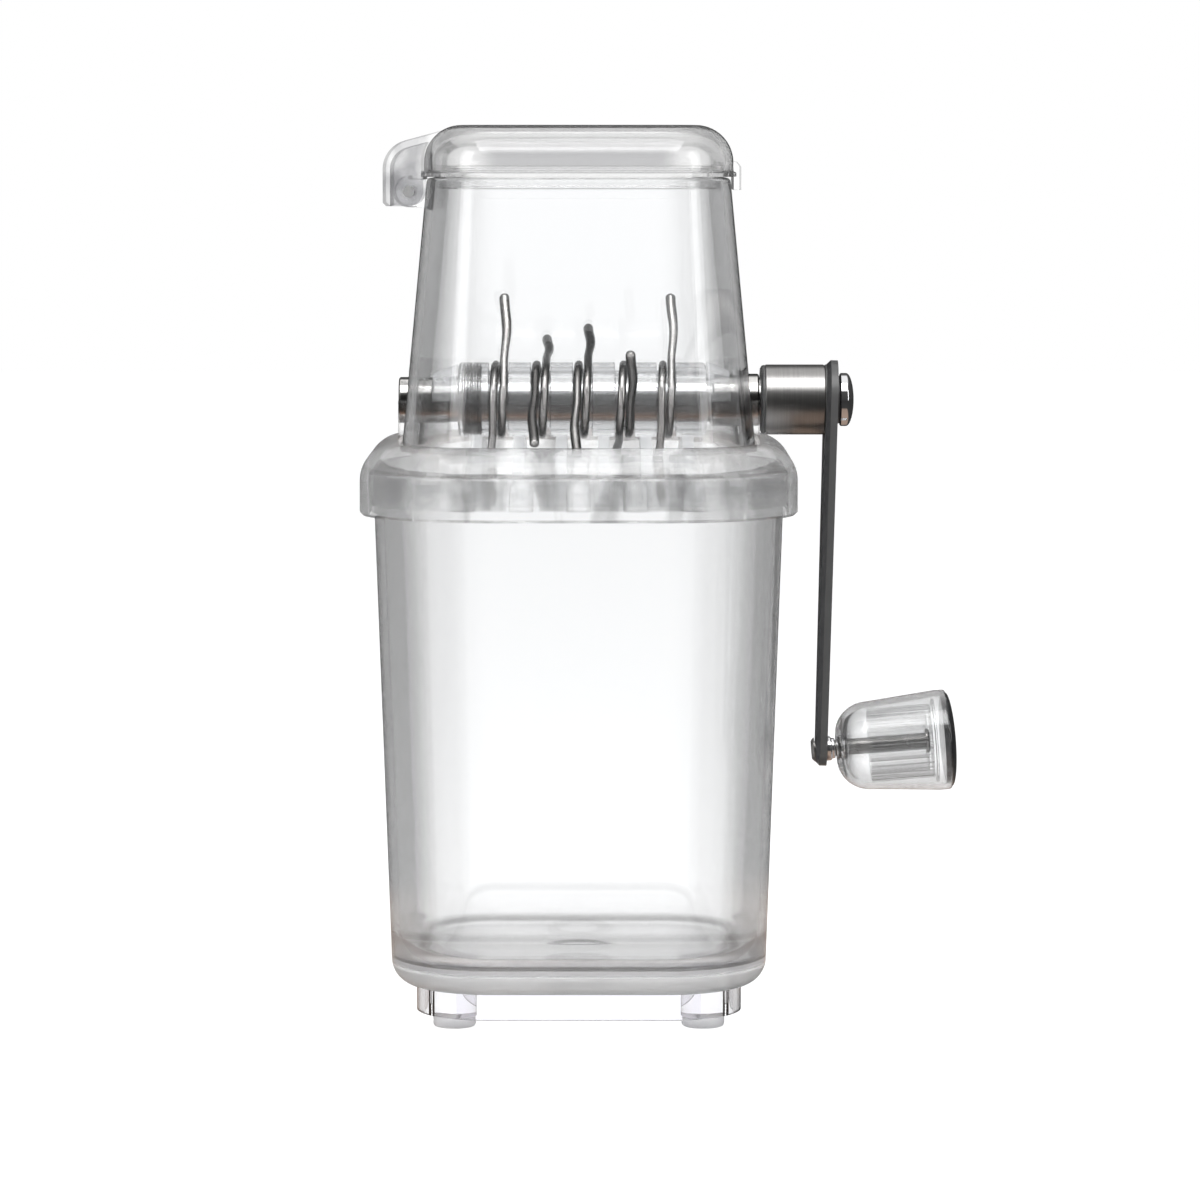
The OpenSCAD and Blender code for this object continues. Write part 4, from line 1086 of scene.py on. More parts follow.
@dataclass
class Head:
    """The collar with its saddles, and the hopper, combs, caps and bushes on it."""

    collar_width: float = 117.0
    collar_height: float = 19.0
    shoulder_r: float = 10.0
    inner_r: float = 3.0
    wall: float = 2.5
    throat: float = 44.8
    throat_wall: float = 2.6
    throat_drop: float = 9.0
    rib_pitch: float = 15.0
    rib_r: float = 3.2
    rib_h: float = 8.0
    rib_steps: int = 40
    saddle_half: float = 9.5
    saddle_length: float = 13.0
    bush_left: Pair = (6.1, LAYOUT.left_bush)
    bush_right: Pair = (7.0, 12.0)
    hopper_foot: float = 94.6
    hopper_rim: float = 80.8
    hopper_wall: float = 2.2
    hopper_corner_r: float = 20.0
    knuckle_r: float = 4.2
    knuckle_half: float = 14.2
    foot_edge: float = 0.8
    foot_round: float = 1.0
    bush_bores: Pair = (4.05, 6.05)
    bush_chamfer: float = 0.4
    bush_edge: float = 0.12
    hopper_edge: float = 0.25
    rim_flat: float = 0.1
    knuckle_gap: float = 0.4
    window_gap: float = 0.4
    windows: Pair = (40.0, 56.0)
    pin_bore_r: float = 1.53

    @property
    def hopper_flat(self) -> Pair:
        """Half lengths of the straight stretches of the hopper and the lid."""
        half = self.hopper_rim / 2 - self.hopper_corner_r
        return half, half + LAYOUT.deeper / 2

    def saddle(self, side: int) -> Piece:
        """Extrudes the block that carries a bush, on the left (-1) or the right (1)."""
        out, into = LAYOUT.saddle_out, LAYOUT.saddle_out - self.saddle_length
        outline = [
            (out, LAYOUT.collar_top - 1), (out, LAYOUT.axis_z), (into, LAYOUT.axis_z),
            (into, LAYOUT.collar_top), (self.throat + self.throat_wall / 2, LAYOUT.rim_z),
            (self.throat + self.throat_wall, LAYOUT.rim_z + 1),
        ]
        return slab("saddle", [(side * x, z) for x, z in outline], -self.saddle_half,
                    self.saddle_half, ABOUT_X)

    def shaft_bore(self, start: float, length: float, radius: float) -> Piece:
        """Turns a cutter along the shaft, in the body's own middle."""
        in_body = LAYOUT.at_body().inverted() @ LAYOUT.on_shaft(start)
        return turned("bore", rod(radius, 0, length), in_body)

    def collar(self, flat: Pair) -> Piece:
        """Sweeps the collar and its throat, adds the ribs and saddles, and bores them."""
        out, edge, r = self.collar_width / 2, self.foot_edge, self.foot_round
        low = LAYOUT.collar_top - self.collar_height
        seat_x = self.hopper_foot / 2 + LAYOUT.gap
        inner_r = self.inner_r
        profile = [
            (out - self.wall, low), (out - edge, low), (out, low + edge),
            *arc((out - self.shoulder_r, LAYOUT.collar_top - self.shoulder_r), self.shoulder_r,
                 0, 90, 14),
            (seat_x, LAYOUT.collar_top), (seat_x, LAYOUT.seat_z), (self.throat, LAYOUT.seat_z),
            (self.throat, LAYOUT.rim_z - self.throat_drop),
            (self.throat + self.throat_wall, LAYOUT.rim_z - self.throat_drop),
            *arc((self.throat + self.throat_wall + inner_r, LAYOUT.rim_z - inner_r), inner_r,
                 180, 90, 5),
            *arc((out - self.wall - r, LAYOUT.rim_z - r), r, 90, 0, 3),
        ]
        piece = swept("collar_shell", profile, flat, closed=True)
        straight = self.rib_h - self.rib_r
        rib_profile = [(0, 0), (self.rib_r, 0), *arc((0, straight), self.rib_r, 0, 90, 8)]
        ring_r = self.throat - flat[0] + LAYOUT.gap + self.rib_r
        for side in (-1, 1):
            for i in range(-2, 3):
                x = i * self.rib_pitch
                rib_y = flat[1] + (ring_r ** 2 - max(0.0, abs(x) - flat[0]) ** 2) ** 0.5
                at = shifted(x, side * rib_y, LAYOUT.rim_z - self.throat_drop)
                combine(piece, turned("rib", rib_profile, at, self.rib_steps), Join.ADD)
            combine(piece, self.saddle(side), Join.ADD)
        reach = LAYOUT.saddle_out
        left, left_length = self.bush_left
        right, past, fit = self.bush_right[0], LAYOUT.clear, LAYOUT.fit
        for start, length, radius in (
                (-reach - past, left_length + past, left + fit),
                (-reach, self.saddle_length + past, LAYOUT.shaft_r + LAYOUT.gap),
                (reach - self.saddle_length - past, self.saddle_length + 2 * past, right + fit)):
            combine(piece, self.shaft_bore(start, length, radius), Join.CUT)
        soften(piece, 0)
        return place(piece, LAYOUT.at_body())

    def hopper(self) -> Piece:
        """Sweeps the hopper, adds its knuckle and cuts the windows for saddles and bushes."""
        foot, rim, wall = self.hopper_foot / 2, self.hopper_rim / 2, self.hopper_wall
        edge = wall / 2 - self.rim_flat
        profile = [
            (foot, LAYOUT.seat_z), (rim + self.rim_flat, LAYOUT.hopper_top - edge),
            *arc((rim - edge, LAYOUT.hopper_top - edge), edge, 0, 90, 4)[1:],
            *arc((rim - wall + edge, LAYOUT.hopper_top - edge), edge, 90, 180, 4),
            (foot - wall, LAYOUT.seat_z),
        ]
        piece = swept("hopper_shell", profile, self.hopper_flat, closed=True)
        reach = -LAYOUT.pin_x - rim + wall / 3
        r = self.knuckle_r
        flat_z = LAYOUT.hopper_top - LAYOUT.pin_z - self.knuckle_gap
        knuckle = [*arc((0, 0), r, 180, 270, 10), (reach, -r), (reach, flat_z), (0, flat_z),
                   *arc((0, 0), r, 90, 170, 10)]
        hinge = LAYOUT.pin_in_body()
        combine(piece, slab("knuckle", knuckle, -self.knuckle_half, self.knuckle_half, hinge), Join.ADD)
        bore = rod(self.pin_bore_r, -LAYOUT.pin_reach, LAYOUT.pin_reach)
        combine(piece, turned("pin_bore", bore, hinge, BORE_STEPS), Join.CUT)
        half = self.saddle_half + self.window_gap
        near, far = self.windows
        for start, end in ((-far, -near), (near, far)):
            low, high = (start, -half, LAYOUT.seat_z - LAYOUT.clear), (end, half, LAYOUT.axis_z)
            combine(piece, block("window", low, high), Join.CUT)
        for start, radius in ((-far, self.bush_left[0]), (near, self.bush_right[0])):
            combine(piece, self.shaft_bore(start, far - near, radius + LAYOUT.fit), Join.CUT)
        soften(piece, self.hopper_edge)
        return place(piece, LAYOUT.at_body())

    def bush(self, name: str, start: float, bore: float, size: Pair) -> Piece:
        """Turns a bush with small chamfers, from a place on the shaft."""
        (r, length), c = size, self.bush_chamfer
        profile = [(bore, 0), (r - c, 0), (r, c), (r, length - c), (r - c, length), (bore, length)]
        return turned(name, profile, LAYOUT.on_shaft(start), edge=self.bush_edge)

    def build(self, flat: Pair) -> None:
        """Makes all the pieces of the head.

        Args:
            flat: Half lengths of the straight stretches of the cup and the collar.
        """
        fit_in(self.collar(flat), "head", CRYSTAL, ["collar"])
        fit_in(self.hopper(), "head", CLEAR_HOPPER, ["hopper"])
        starts = -LAYOUT.saddle_out, LAYOUT.saddle_out - self.bush_right[1]
        sizes = self.bush_left, self.bush_right
        for side, start, bore, size in zip(("left", "right"), starts, self.bush_bores, sizes):
            bush = self.bush(f"bush_{side}_turned", start, bore, size)
            fit_in(bush, "head", BUSH_STEEL, [f"bush_{side}"])
        for node in ("comb_front", "comb_rear", "bearing_cap_left", "bearing_cap_right"):
            keep_node(node, CLEAR_COMB)
        keep_node("lid_hinge_pin", PIN_STEEL)


@dataclass
class Lid:
    """The clear lid with its plug, hinge hood and thumb tab."""

    width: float = 84.0
    wall: float = 2.2
    crown_r: float = 10.0
    flange: Pair = (0.8, 1.3)
    plug: Place = (37.0, 1.6, 3.0)
    core_r: float = 5.0
    thumb: Place = (28.0, 2.0, 3.3)
    hood_half: float = 17.0
    cheek: float = 2.5
    hood_wall: float = 1.9
    hood_reach: float = 6.9
    hood_drop: float = 3.9
    shoulder_r: float = 8.0
    slope: float = 15.0
    pin_bore_r: float = 1.55
    # Painted shade on the lid: a grey band round the crown's shoulder, and uneven patches on the hinge
    # hood.
    shade_band_z: Place = (231.5, 2.5, 3.0)
    shade_band_x: Place = (-22.1, 22.0, 8.0)
    shade_band_share: float = 0.6
    hood_shade_patches: float = 110.0
    brow: float = 0.5
    brow_in: float = 0.2
    flange_edge: float = 0.3
    plug_edge: float = 0.4
    edge: float = 0.3

    def cover(self, flat: Pair) -> Piece:
        """Sweeps the lid's wall, crown, flange and plug and closes the crown's middle."""
        half = self.width / 2
        wall_x = half - self.flange[0]
        crown_z = LAYOUT.lid_top - self.crown_r
        shelf = LAYOUT.lid_z + self.flange[1]
        plug_x, plug_wall, plug_h = self.plug
        plug_z = LAYOUT.hopper_top - plug_h
        centre = (wall_x - self.crown_r, crown_z)
        profile = [
            (flat[0] + self.core_r, LAYOUT.lid_top),
            *reversed(arc(centre, self.crown_r, 0, 90, 14)),
            (wall_x, shelf + self.brow), (wall_x + self.brow_in, shelf),
            (half - self.flange_edge, shelf), (half, shelf - self.flange_edge), (half, LAYOUT.lid_z),
            (plug_x, LAYOUT.lid_z), (plug_x, plug_z + self.plug_edge),
            (plug_x - self.plug_edge, plug_z), (plug_x - plug_wall, plug_z),
            (plug_x - plug_wall, shelf),
            (wall_x - self.wall, shelf),
            *arc(centre, self.crown_r - self.wall, 0, 90, 12),
            (flat[0] + self.core_r, LAYOUT.lid_top - self.wall),
        ]
        return swept("lid_shell", profile, flat, closed=False)

    def hood(self, name: str, inset: float, side_r: float, foot: float, half: float) -> Piece:
        """Extrudes the hinge hood or the slot in it, hollowed towards the lid's crown.

        Args:
            name: Name of the new solid.
            inset: How far its faces lie inside the hood's outer faces.
            side_r: Radius of the hollow about the crown's centre.
            foot: Height of its foot, from the pin.
            half: Half of its width.

        Returns:
            The solid, in the body's own middle.
        """
        crown_x = -LAYOUT.pin_x - (self.width / 2 - self.flange[0]) + self.crown_r
        crown_z = LAYOUT.lid_top - self.crown_r - LAYOUT.pin_z
        low = LAYOUT.lid_z - LAYOUT.pin_z
        slope = radians(self.slope)
        shoulder_x = -self.hood_reach + self.shoulder_r
        top = LAYOUT.lid_top - LAYOUT.pin_z
        shoulder_z = top - (crown_x - shoulder_x) * tan(slope) - self.shoulder_r / cos(slope)
        outline = [
            (crown_x, top - inset / cos(slope)),
            *arc((shoulder_x, shoulder_z), self.shoulder_r - inset, 90 + self.slope, 180, 12),
            (-self.hood_reach + inset, foot + self.hood_wall / 2),
            (-self.hood_reach + self.hood_wall / 2 + inset, foot),
            *arc((0, 0), -foot, -90, 0, 10), (-foot, low), (crown_x, low),
        ]
        hinge = LAYOUT.pin_in_body()
        piece = slab(name, outline, -half, half, hinge)
        past = half + LAYOUT.clear
        at = hinge @ shifted(crown_x, crown_z)
        combine(piece, turned("crown_side", rod(side_r, -past, past), at), Join.CUT)
        straight = rod(crown_x + side_r, low - LAYOUT.clear, crown_z, crown_x - side_r)
        combine(piece, slab("wall_side", straight, -past, past, hinge), Join.CUT)
        return piece

    def painted_shade_mask(self) -> bpy.types.NodeTree:
        """Makes the mask of painted shade: uneven patches on the hinge hood and a grey band round the
        crown's shoulder.
        """
        graph = Effect("lid_painted_shade")
        at = graph.place()
        side = graph.part(at, "X")
        start = LAYOUT.body_x - self.width / 2
        # Painted shade on the hinge hood, in uneven patches.
        past_wall = graph.span(side, start * MM, (start + self.wall) * MM, 1.0, 0.0)
        uneven = graph.span(graph.noise(at, self.hood_shade_patches, 2.0), 0.42, 0.56, 0.1)
        band = self.shade_band_share
        for value, (middle, half, edge) in ((graph.part(at, "Z"), self.shade_band_z), (side, self.shade_band_x)):
            soft = graph.soft_line(graph.off(value, middle * MM), half * MM, edge * MM)
            band = graph.math("MULTIPLY", soft, band)
        hood = graph.math("MULTIPLY", past_wall, uneven)
        return graph.finish({"Mask": graph.math("MAXIMUM", hood, band)})

    def build(self, flat: Pair) -> None:
        """Makes the lid.

        Args:
            flat: Half lengths of the straight stretches of the hopper and the lid.
        """
        piece = self.cover(flat)
        hood = self.hood("hood", 0, self.crown_r - self.wall / 2, -self.hood_drop, self.hood_half)
        combine(piece, hood, Join.ADD)
        thumb_w, thumb_t, drop = self.thumb
        inner = self.width / 2 - thumb_t / 4
        wall_x = self.width / 2 - self.flange[0]
        high = LAYOUT.lid_z + 3 * self.flange[1]
        tab = [(inner, LAYOUT.hopper_top - drop), (inner + thumb_t, LAYOUT.hopper_top - drop),
               (inner + thumb_t, high - self.flange[1]), (inner + thumb_t / 2, high),
               (wall_x - self.wall / 2, high), (wall_x - self.wall / 2, LAYOUT.lid_z),
               (inner, LAYOUT.lid_z)]
        combine(piece, slab("tab", tab, -thumb_w / 2, thumb_w / 2, ABOUT_X), Join.ADD)
        slot = self.hood("slot", self.hood_wall, self.crown_r + self.hood_wall / 2,
                         -self.hood_drop - LAYOUT.clear, self.hood_half - self.cheek)
        combine(piece, slot, Join.CUT)
        bore = rod(self.pin_bore_r, -LAYOUT.pin_reach, LAYOUT.pin_reach)
        combine(piece, turned("pin_bore", bore, LAYOUT.pin_in_body(), BORE_STEPS), Join.CUT)
        soften(piece, self.edge)
        place(piece, LAYOUT.at_body())
        fit_in(piece, "lid", replace(CLEAR_LID, mask=self.painted_shade_mask()), ["lid"])


@dataclass
class Roller:
    """The steel shaft with its clear roller and the five wire tines wound round it."""

    journal_r: float = 4.0
    shoulder_x: float = 62.3
    stud_end: float = 72.6
    roller_r: float = 10.1
    chamfer: float = 1.0
    shaft_chamfers: Pair = (0.4, 0.3)
    groove_slope: float = 0.15
    bore_gap: float = 0.02
    groove_r: float = 7.9
    groove_half: float = 2.7
    thread_at: Place = (1.2, 6.4, 0.9)
    phases: tuple[float, ...] = (-28.0, -76.0, -68.0, 42.0, -28.0)
    pitch: float = 11.36
    wire_r: float = 1.1
    coil_r: float = 9.5
    strand_pitch: float = 2.7
    coil_turn: float = 388.0
    leg: float = 26.1
    leg_root: float = 0.25
    bow: float = 0.7
    tip_swell: float = 1.22
    coil_steps: int = 72
    leg_steps: int = 14
    wire_sides: int = 16
    thread_over: Pair = (0.06, 0.75)
    thread_foot: Pair = (0.08, 0.05)
    thread_shares: Place = (0.4, 0.6, 0.95)
    swell_from: float = 0.45
    swell_over: float = 0.35
    tip_cap: tuple[Pair, ...] = ((0.35, 0.93), (0.7, 0.68), (0.92, 0.38), (1.0, 0.1))

    def shaft(self) -> Piece:
        """Turns the shaft: the journal in the left bush, the long middle and the stud."""
        start = -LAYOUT.saddle_out
        step = LAYOUT.left_bush + LAYOUT.gap
        shoulder, end = self.shoulder_x - start, self.stud_end - start
        tip, edge = self.shaft_chamfers
        r, stud_r = LAYOUT.shaft_r, LAYOUT.stud_r
        profile = [(0, 0), (self.journal_r - tip, 0), (self.journal_r, tip), (self.journal_r, step),
                   (r - edge, step), (r, step + edge), (r, shoulder), (stud_r, shoulder),
                   (stud_r, end), (0, end)]
        return turned("shaft_turned", profile, LAYOUT.on_shaft(start), edge=0)

    def sleeve(self) -> Piece:
        """Turns the clear roller with a groove for each tine's coil."""
        left, right = LAYOUT.roller_ends
        length, bore = right - left, LAYOUT.shaft_r + self.bore_gap
        r, c, slope = self.roller_r, self.chamfer, self.groove_slope
        profile = [(bore, 0), (r - c, 0), *arc((r - c, c), c, -90, 0, 4)[1:]]
        for i in range(len(self.phases)):
            middle = self.tine_x(i) - left
            low, high = middle - self.groove_half, middle + self.groove_half
            deep = [(self.groove_r, low + slope), (self.groove_r, high - slope)]
            profile += [(r, low), *deep, (r, high)]
        profile += [*arc((r - c, length - c), c, 0, 90, 4), (bore, length)]
        return turned("roller_sleeve", profile, LAYOUT.on_shaft(left), edge=slope)

    def thread(self) -> Piece:
        """Turns the fine rings that show in the left end of the clear roller."""
        start, end, pitch = self.thread_at
        low, high = (LAYOUT.shaft_r + over for over in self.thread_over)
        foot, rise = low + self.thread_foot[0], self.thread_foot[1]
        full, fall, stop = self.thread_shares
        profile = [(low, start)]
        count = round((end - start) / pitch)
        for i in range(count):
            at = start + i * pitch
            profile += [(foot, at + rise), (high, at + pitch * full), (high, at + pitch * fall),
                        (foot, at + pitch * stop)]
        profile += [(low, start + count * pitch)]
        return turned("roller_thread", profile, LAYOUT.on_shaft(LAYOUT.roller_ends[0]), FINE_STEPS, 0)

    def tine_x(self, i: int) -> float:
        """Place of a tine along the shaft, from the middle of the body."""
        return sum(LAYOUT.roller_ends) / 2 + (i - (len(self.phases) - 1) / 2) * self.pitch

    def coil_point(self, angle: float) -> Vector:
        """Point of the coil at an angle in degrees, about the shaft's axis."""
        turn = radians(angle)
        along = self.strand_pitch * (self.coil_turn / 2 - angle) / 360
        return Vector((along, -self.coil_r * cos(turn), -self.coil_r * sin(turn)))

    def leg_point(self, angle: float, distance: float) -> Vector:
        """Point of a leg that leaves the coil at an angle; the distance is signed."""
        turn = radians(angle)
        share = min(1.0, abs(distance) / self.leg)
        out = max(0.0, (share - self.leg_root) / (1 - self.leg_root))
        way = 1 if distance > 0 else -1
        sideways = -way * self.bow * sin(radians(180 * out)) ** 2
        leaving = distance * Vector((0, sin(turn), -cos(turn)))
        return self.coil_point(angle) + leaving + Vector((sideways, 0, 0))

    def tine(self, i: int) -> Piece:
        """Bends one tine: a leg, one wound turn and a leg, with swollen round tips."""
        steps = range(1, self.leg_steps + 1)
        shares = [k / self.leg_steps for k in steps]
        grown = [min(1.0, max(0.0, (s - self.swell_from) / self.swell_over)) for s in shares]
        swell = [1 + (self.tip_swell - 1) * sin(radians(90 * share)) for share in grown]
        out = [(s * self.leg, r) for s, r in zip(shares, swell)]
        out += [(self.leg + a * self.wire_r, b * self.tip_swell) for a, b in self.tip_cap]
        before = [(self.leg_point(0, -d), r) for d, r in reversed(out)]
        turns = [self.coil_turn * k / self.coil_steps for k in range(self.coil_steps + 1)]
        wound = [(self.coil_point(a), 1.0) for a in turns]
        after = [(self.leg_point(self.coil_turn, d), r) for d, r in out]
        path = before + wound + after
        piece = wire(f"wire_tine_{i + 1}", [p * MM for p, _ in path],
                     [self.wire_r * r * MM for _, r in path], self.wire_sides)
        turn = Matrix.Rotation(radians(self.phases[i]), 4, "X")
        return place(piece, LAYOUT.at_body(self.tine_x(i), 0, LAYOUT.axis_z) @ turn)

    def build(self) -> None:
        """Makes all the pieces that turn on the shaft between the bushes."""
        fit_in(self.shaft(), "crank", SHAFT_STEEL, ["shaft"])
        fit_in(self.sleeve(), "crank", CLEAR_ROLLER, ["roller"])
        fit_in(self.thread(), "crank", SHAFT_STEEL)
        for i in range(len(self.phases)):
            fit_in(self.tine(i), "crank", WIRE_STEEL, [f"tine_{i + 1}"])


@dataclass
class Crank:
    """The hub, arm, washer, cap nut, ferrule and spindle."""

    hub_x: float = 49.1
    hub_length: float = 17.6
    hub_r: float = 9.5
    bore_r: float = 6.02
    painted_shade_ring: float = 1.3
    arm_t: float = 3.2
    arm_edge: float = 1.3
    arm_length: float = 95.3
    top_r: float = 10.7
    tip_r: float = 4.7
    lean: float = 1.4
    washer: Pair = (6.5, 0.8)
    nut: Pair = (7.2, 3.8)
    nut_flat: float = 0.45
    ferrule: Pair = (3.3, 2.3)
    spindle_r: float = 2.2
    spindle_length: float = 27.1
    tilt: float = 4.5
    hub_edge: float = 0.25
    hub_bevel: Pair = (0.3, 0.5)
    ring_inset: float = 0.15
    ring_round: float = 0.75
    trim_gap: float = 0.15
    arm_round: float = 0.45
    arm_strips: int = 3
    nut_edge: float = 0.3
    rivet_h: float = 1.0
    rivet_slope: Pair = (0.8, 0.7)
    rivet_gap: float = 0.1
    stop_z: Pair = (0.7, 1.05)
    stop_slope: float = 0.4
    ferrule_gap: float = 0.01
    ferrule_sunk: float = 0.25
    ferrule_step: Place = (0.45, 0.6, 0.5)
    ferrule_chamfer: float = 0.3
    ferrule_edge: float = 0.08

    @property
    def hub_end(self) -> float:
        """Outer end of the hub, from the middle of the body."""
        return self.hub_x + self.hub_length

    def on_arm(self) -> Matrix:
        """Gives the leaning arm's frame, from the hub's end face on the shaft's axis."""
        lean = Matrix.Rotation(radians(self.lean), 4, "Y")
        return LAYOUT.at_body(self.hub_end, 0, LAYOUT.axis_z) @ lean

    def on_spindle(self) -> Matrix:
        """Gives the spindle's frame: Z runs outwards from the arm's outer face."""
        lean = radians(self.lean)
        x = self.hub_end + self.arm_t * cos(lean) - self.arm_length * sin(lean)
        z = LAYOUT.axis_z - self.arm_t * sin(lean) - self.arm_length * cos(lean)
        return LAYOUT.at_body(x, 0, z) @ Matrix.Rotation(radians(90 - self.tilt), 4, "Y")

    def hub(self) -> Piece:
        """Turns the hub's metal barrel, which is a hair narrower at its black end rings."""
        low, high, r = self.painted_shade_ring, self.hub_length - LAYOUT.seam, self.hub_r
        edge, (bevel_r, bevel_z) = self.hub_edge, self.hub_bevel
        profile = [(self.bore_r, low), (r - edge, low), (r, low + edge), (r, high - bevel_z),
                   (r - bevel_r, high), (self.bore_r, high)]
        return turned("crank_hub_barrel", profile, LAYOUT.on_shaft(self.hub_x), edge=0)

    def ring(self) -> Piece:
        """Turns the black ring at the hub's inner end, a dark piece that stands in for the shade on
        that end.
        """
        r, end = self.hub_r, self.painted_shade_ring - LAYOUT.seam
        corner = self.ring_inset + self.ring_round
        profile = [(self.bore_r, 0), (r - corner, 0),
                   *arc((r - corner, corner), self.ring_round, -90, 0, 5),
                   (r - self.ring_inset, end), (self.bore_r, end)]
        return turned("hub_end_ring", profile, LAYOUT.on_shaft(self.hub_x), edge=0)

    def arm(self) -> Piece:
        """Extrudes the tapering arm, adds its boss and rounds its edges."""
        slope = asin((self.top_r - self.tip_r) / self.arm_length)
        lean = degrees(slope)
        top = arc((0, 0), self.top_r, -lean, 180 - lean, 28)
        tip = arc((0, -self.arm_length), self.tip_r, 180 - lean, 360 - lean, 18)
        upright = self.on_arm() @ ABOUT_Z @ ABOUT_X
        piece = slab("crank_arm_blade", [*top, *tip], self.arm_t, self.arm_edge, upright, self.arm_edge)
        hub_end = LAYOUT.on_shaft(self.hub_end)
        combine(piece, turned("boss", rod(self.hub_r, 0, self.arm_t), hub_end), Join.ADD)
        trim = rod(self.hub_r + self.trim_gap, -self.arm_t, 0)
        combine(piece, turned("trim", trim, hub_end), Join.CUT)
        soften(piece, self.arm_round, self.arm_strips)
        return piece

    def cap_nut(self) -> Piece:
        """Turns the domed nut with a rolled edge."""
        r, length = self.nut
        flat = length * self.nut_flat
        start = self.arm_t + self.washer[1]
        profile = [(0, 0), (r - self.nut_edge, 0), (r, self.nut_edge)]
        profile += [(r * cos(radians(t)), flat + (length - flat) * sin(radians(t)))
                    for t in DOME_ANGLES]
        return turned("cap_nut", profile, LAYOUT.on_shaft(self.hub_end + start), edge=0)

    def round_washer(self) -> Piece:
        """Turns the black washer under the nut."""
        r, t = self.washer
        start = self.hub_end + self.arm_t
        profile = [(LAYOUT.stud_r, 0), (r, 0), *arc((r - t / 2, t / 2), t / 2, -60, 60, 5),
                   (LAYOUT.stud_r, t)]
        return turned("nut_washer", profile, LAYOUT.on_shaft(start), edge=0)

    def spindle(self) -> Piece:
        """Turns the spindle with its rivet head behind the arm and its retaining head."""
        back, under = -self.arm_t - self.rivet_h, -self.arm_t - self.rivet_gap
        r, head_r, end = self.spindle_r, self.ferrule[0], self.spindle_length
        slope_r, slope_z = self.rivet_slope
        side, tip = (end + high for high in self.stop_z)
        profile = [(0, back), (head_r - slope_r, back), (head_r, back + slope_z), (head_r, under),
                   (r, under), (r, end), (head_r, end), (head_r, side),
                   (head_r - self.stop_slope, tip), (0, tip)]
        return turned("knob_spindle_turned", profile, self.on_spindle(), FINE_STEPS, 0)

    def collar_ring(self) -> Piece:
        """Turns the bright ferrule between the arm and the knob."""
        r, length = self.ferrule
        bore, sunk, c = self.spindle_r + self.ferrule_gap, -self.ferrule_sunk, self.ferrule_chamfer
        start, end, width = self.ferrule_step
        neck = r - width
        profile = [(bore, sunk), (r, sunk), (r, length * start), (neck, length * end),
                   (neck, length - c), (neck - c, length), (bore, length)]
        return turned("knob_ferrule_turned", profile, self.on_spindle(), FINE_STEPS, self.ferrule_edge)

    def build(self) -> None:
        """Makes all the pieces of the crank outside the body."""
        fit_in(self.hub(), "crank", HUB_STEEL, ["crank_hub"])
        # The black ring at the hub's inner end is painted shade.
        fit_in(self.ring(), "crank", SATIN_BLACK)
        keep_node("hub_set_screw", SATIN_BLACK)
        fit_in(self.arm(), "crank", SATIN_BLACK, ["crank_arm"])
        fit_in(self.round_washer(), "crank", SATIN_BLACK, ["crank_washer"])
        fit_in(self.cap_nut(), "crank", CHROME, ["crank_nut"])
        fit_in(self.spindle(), "crank", SPINDLE_STEEL, ["knob_spindle"])
        fit_in(self.collar_ring(), "crank", CHROME, ["knob_ferrule"])


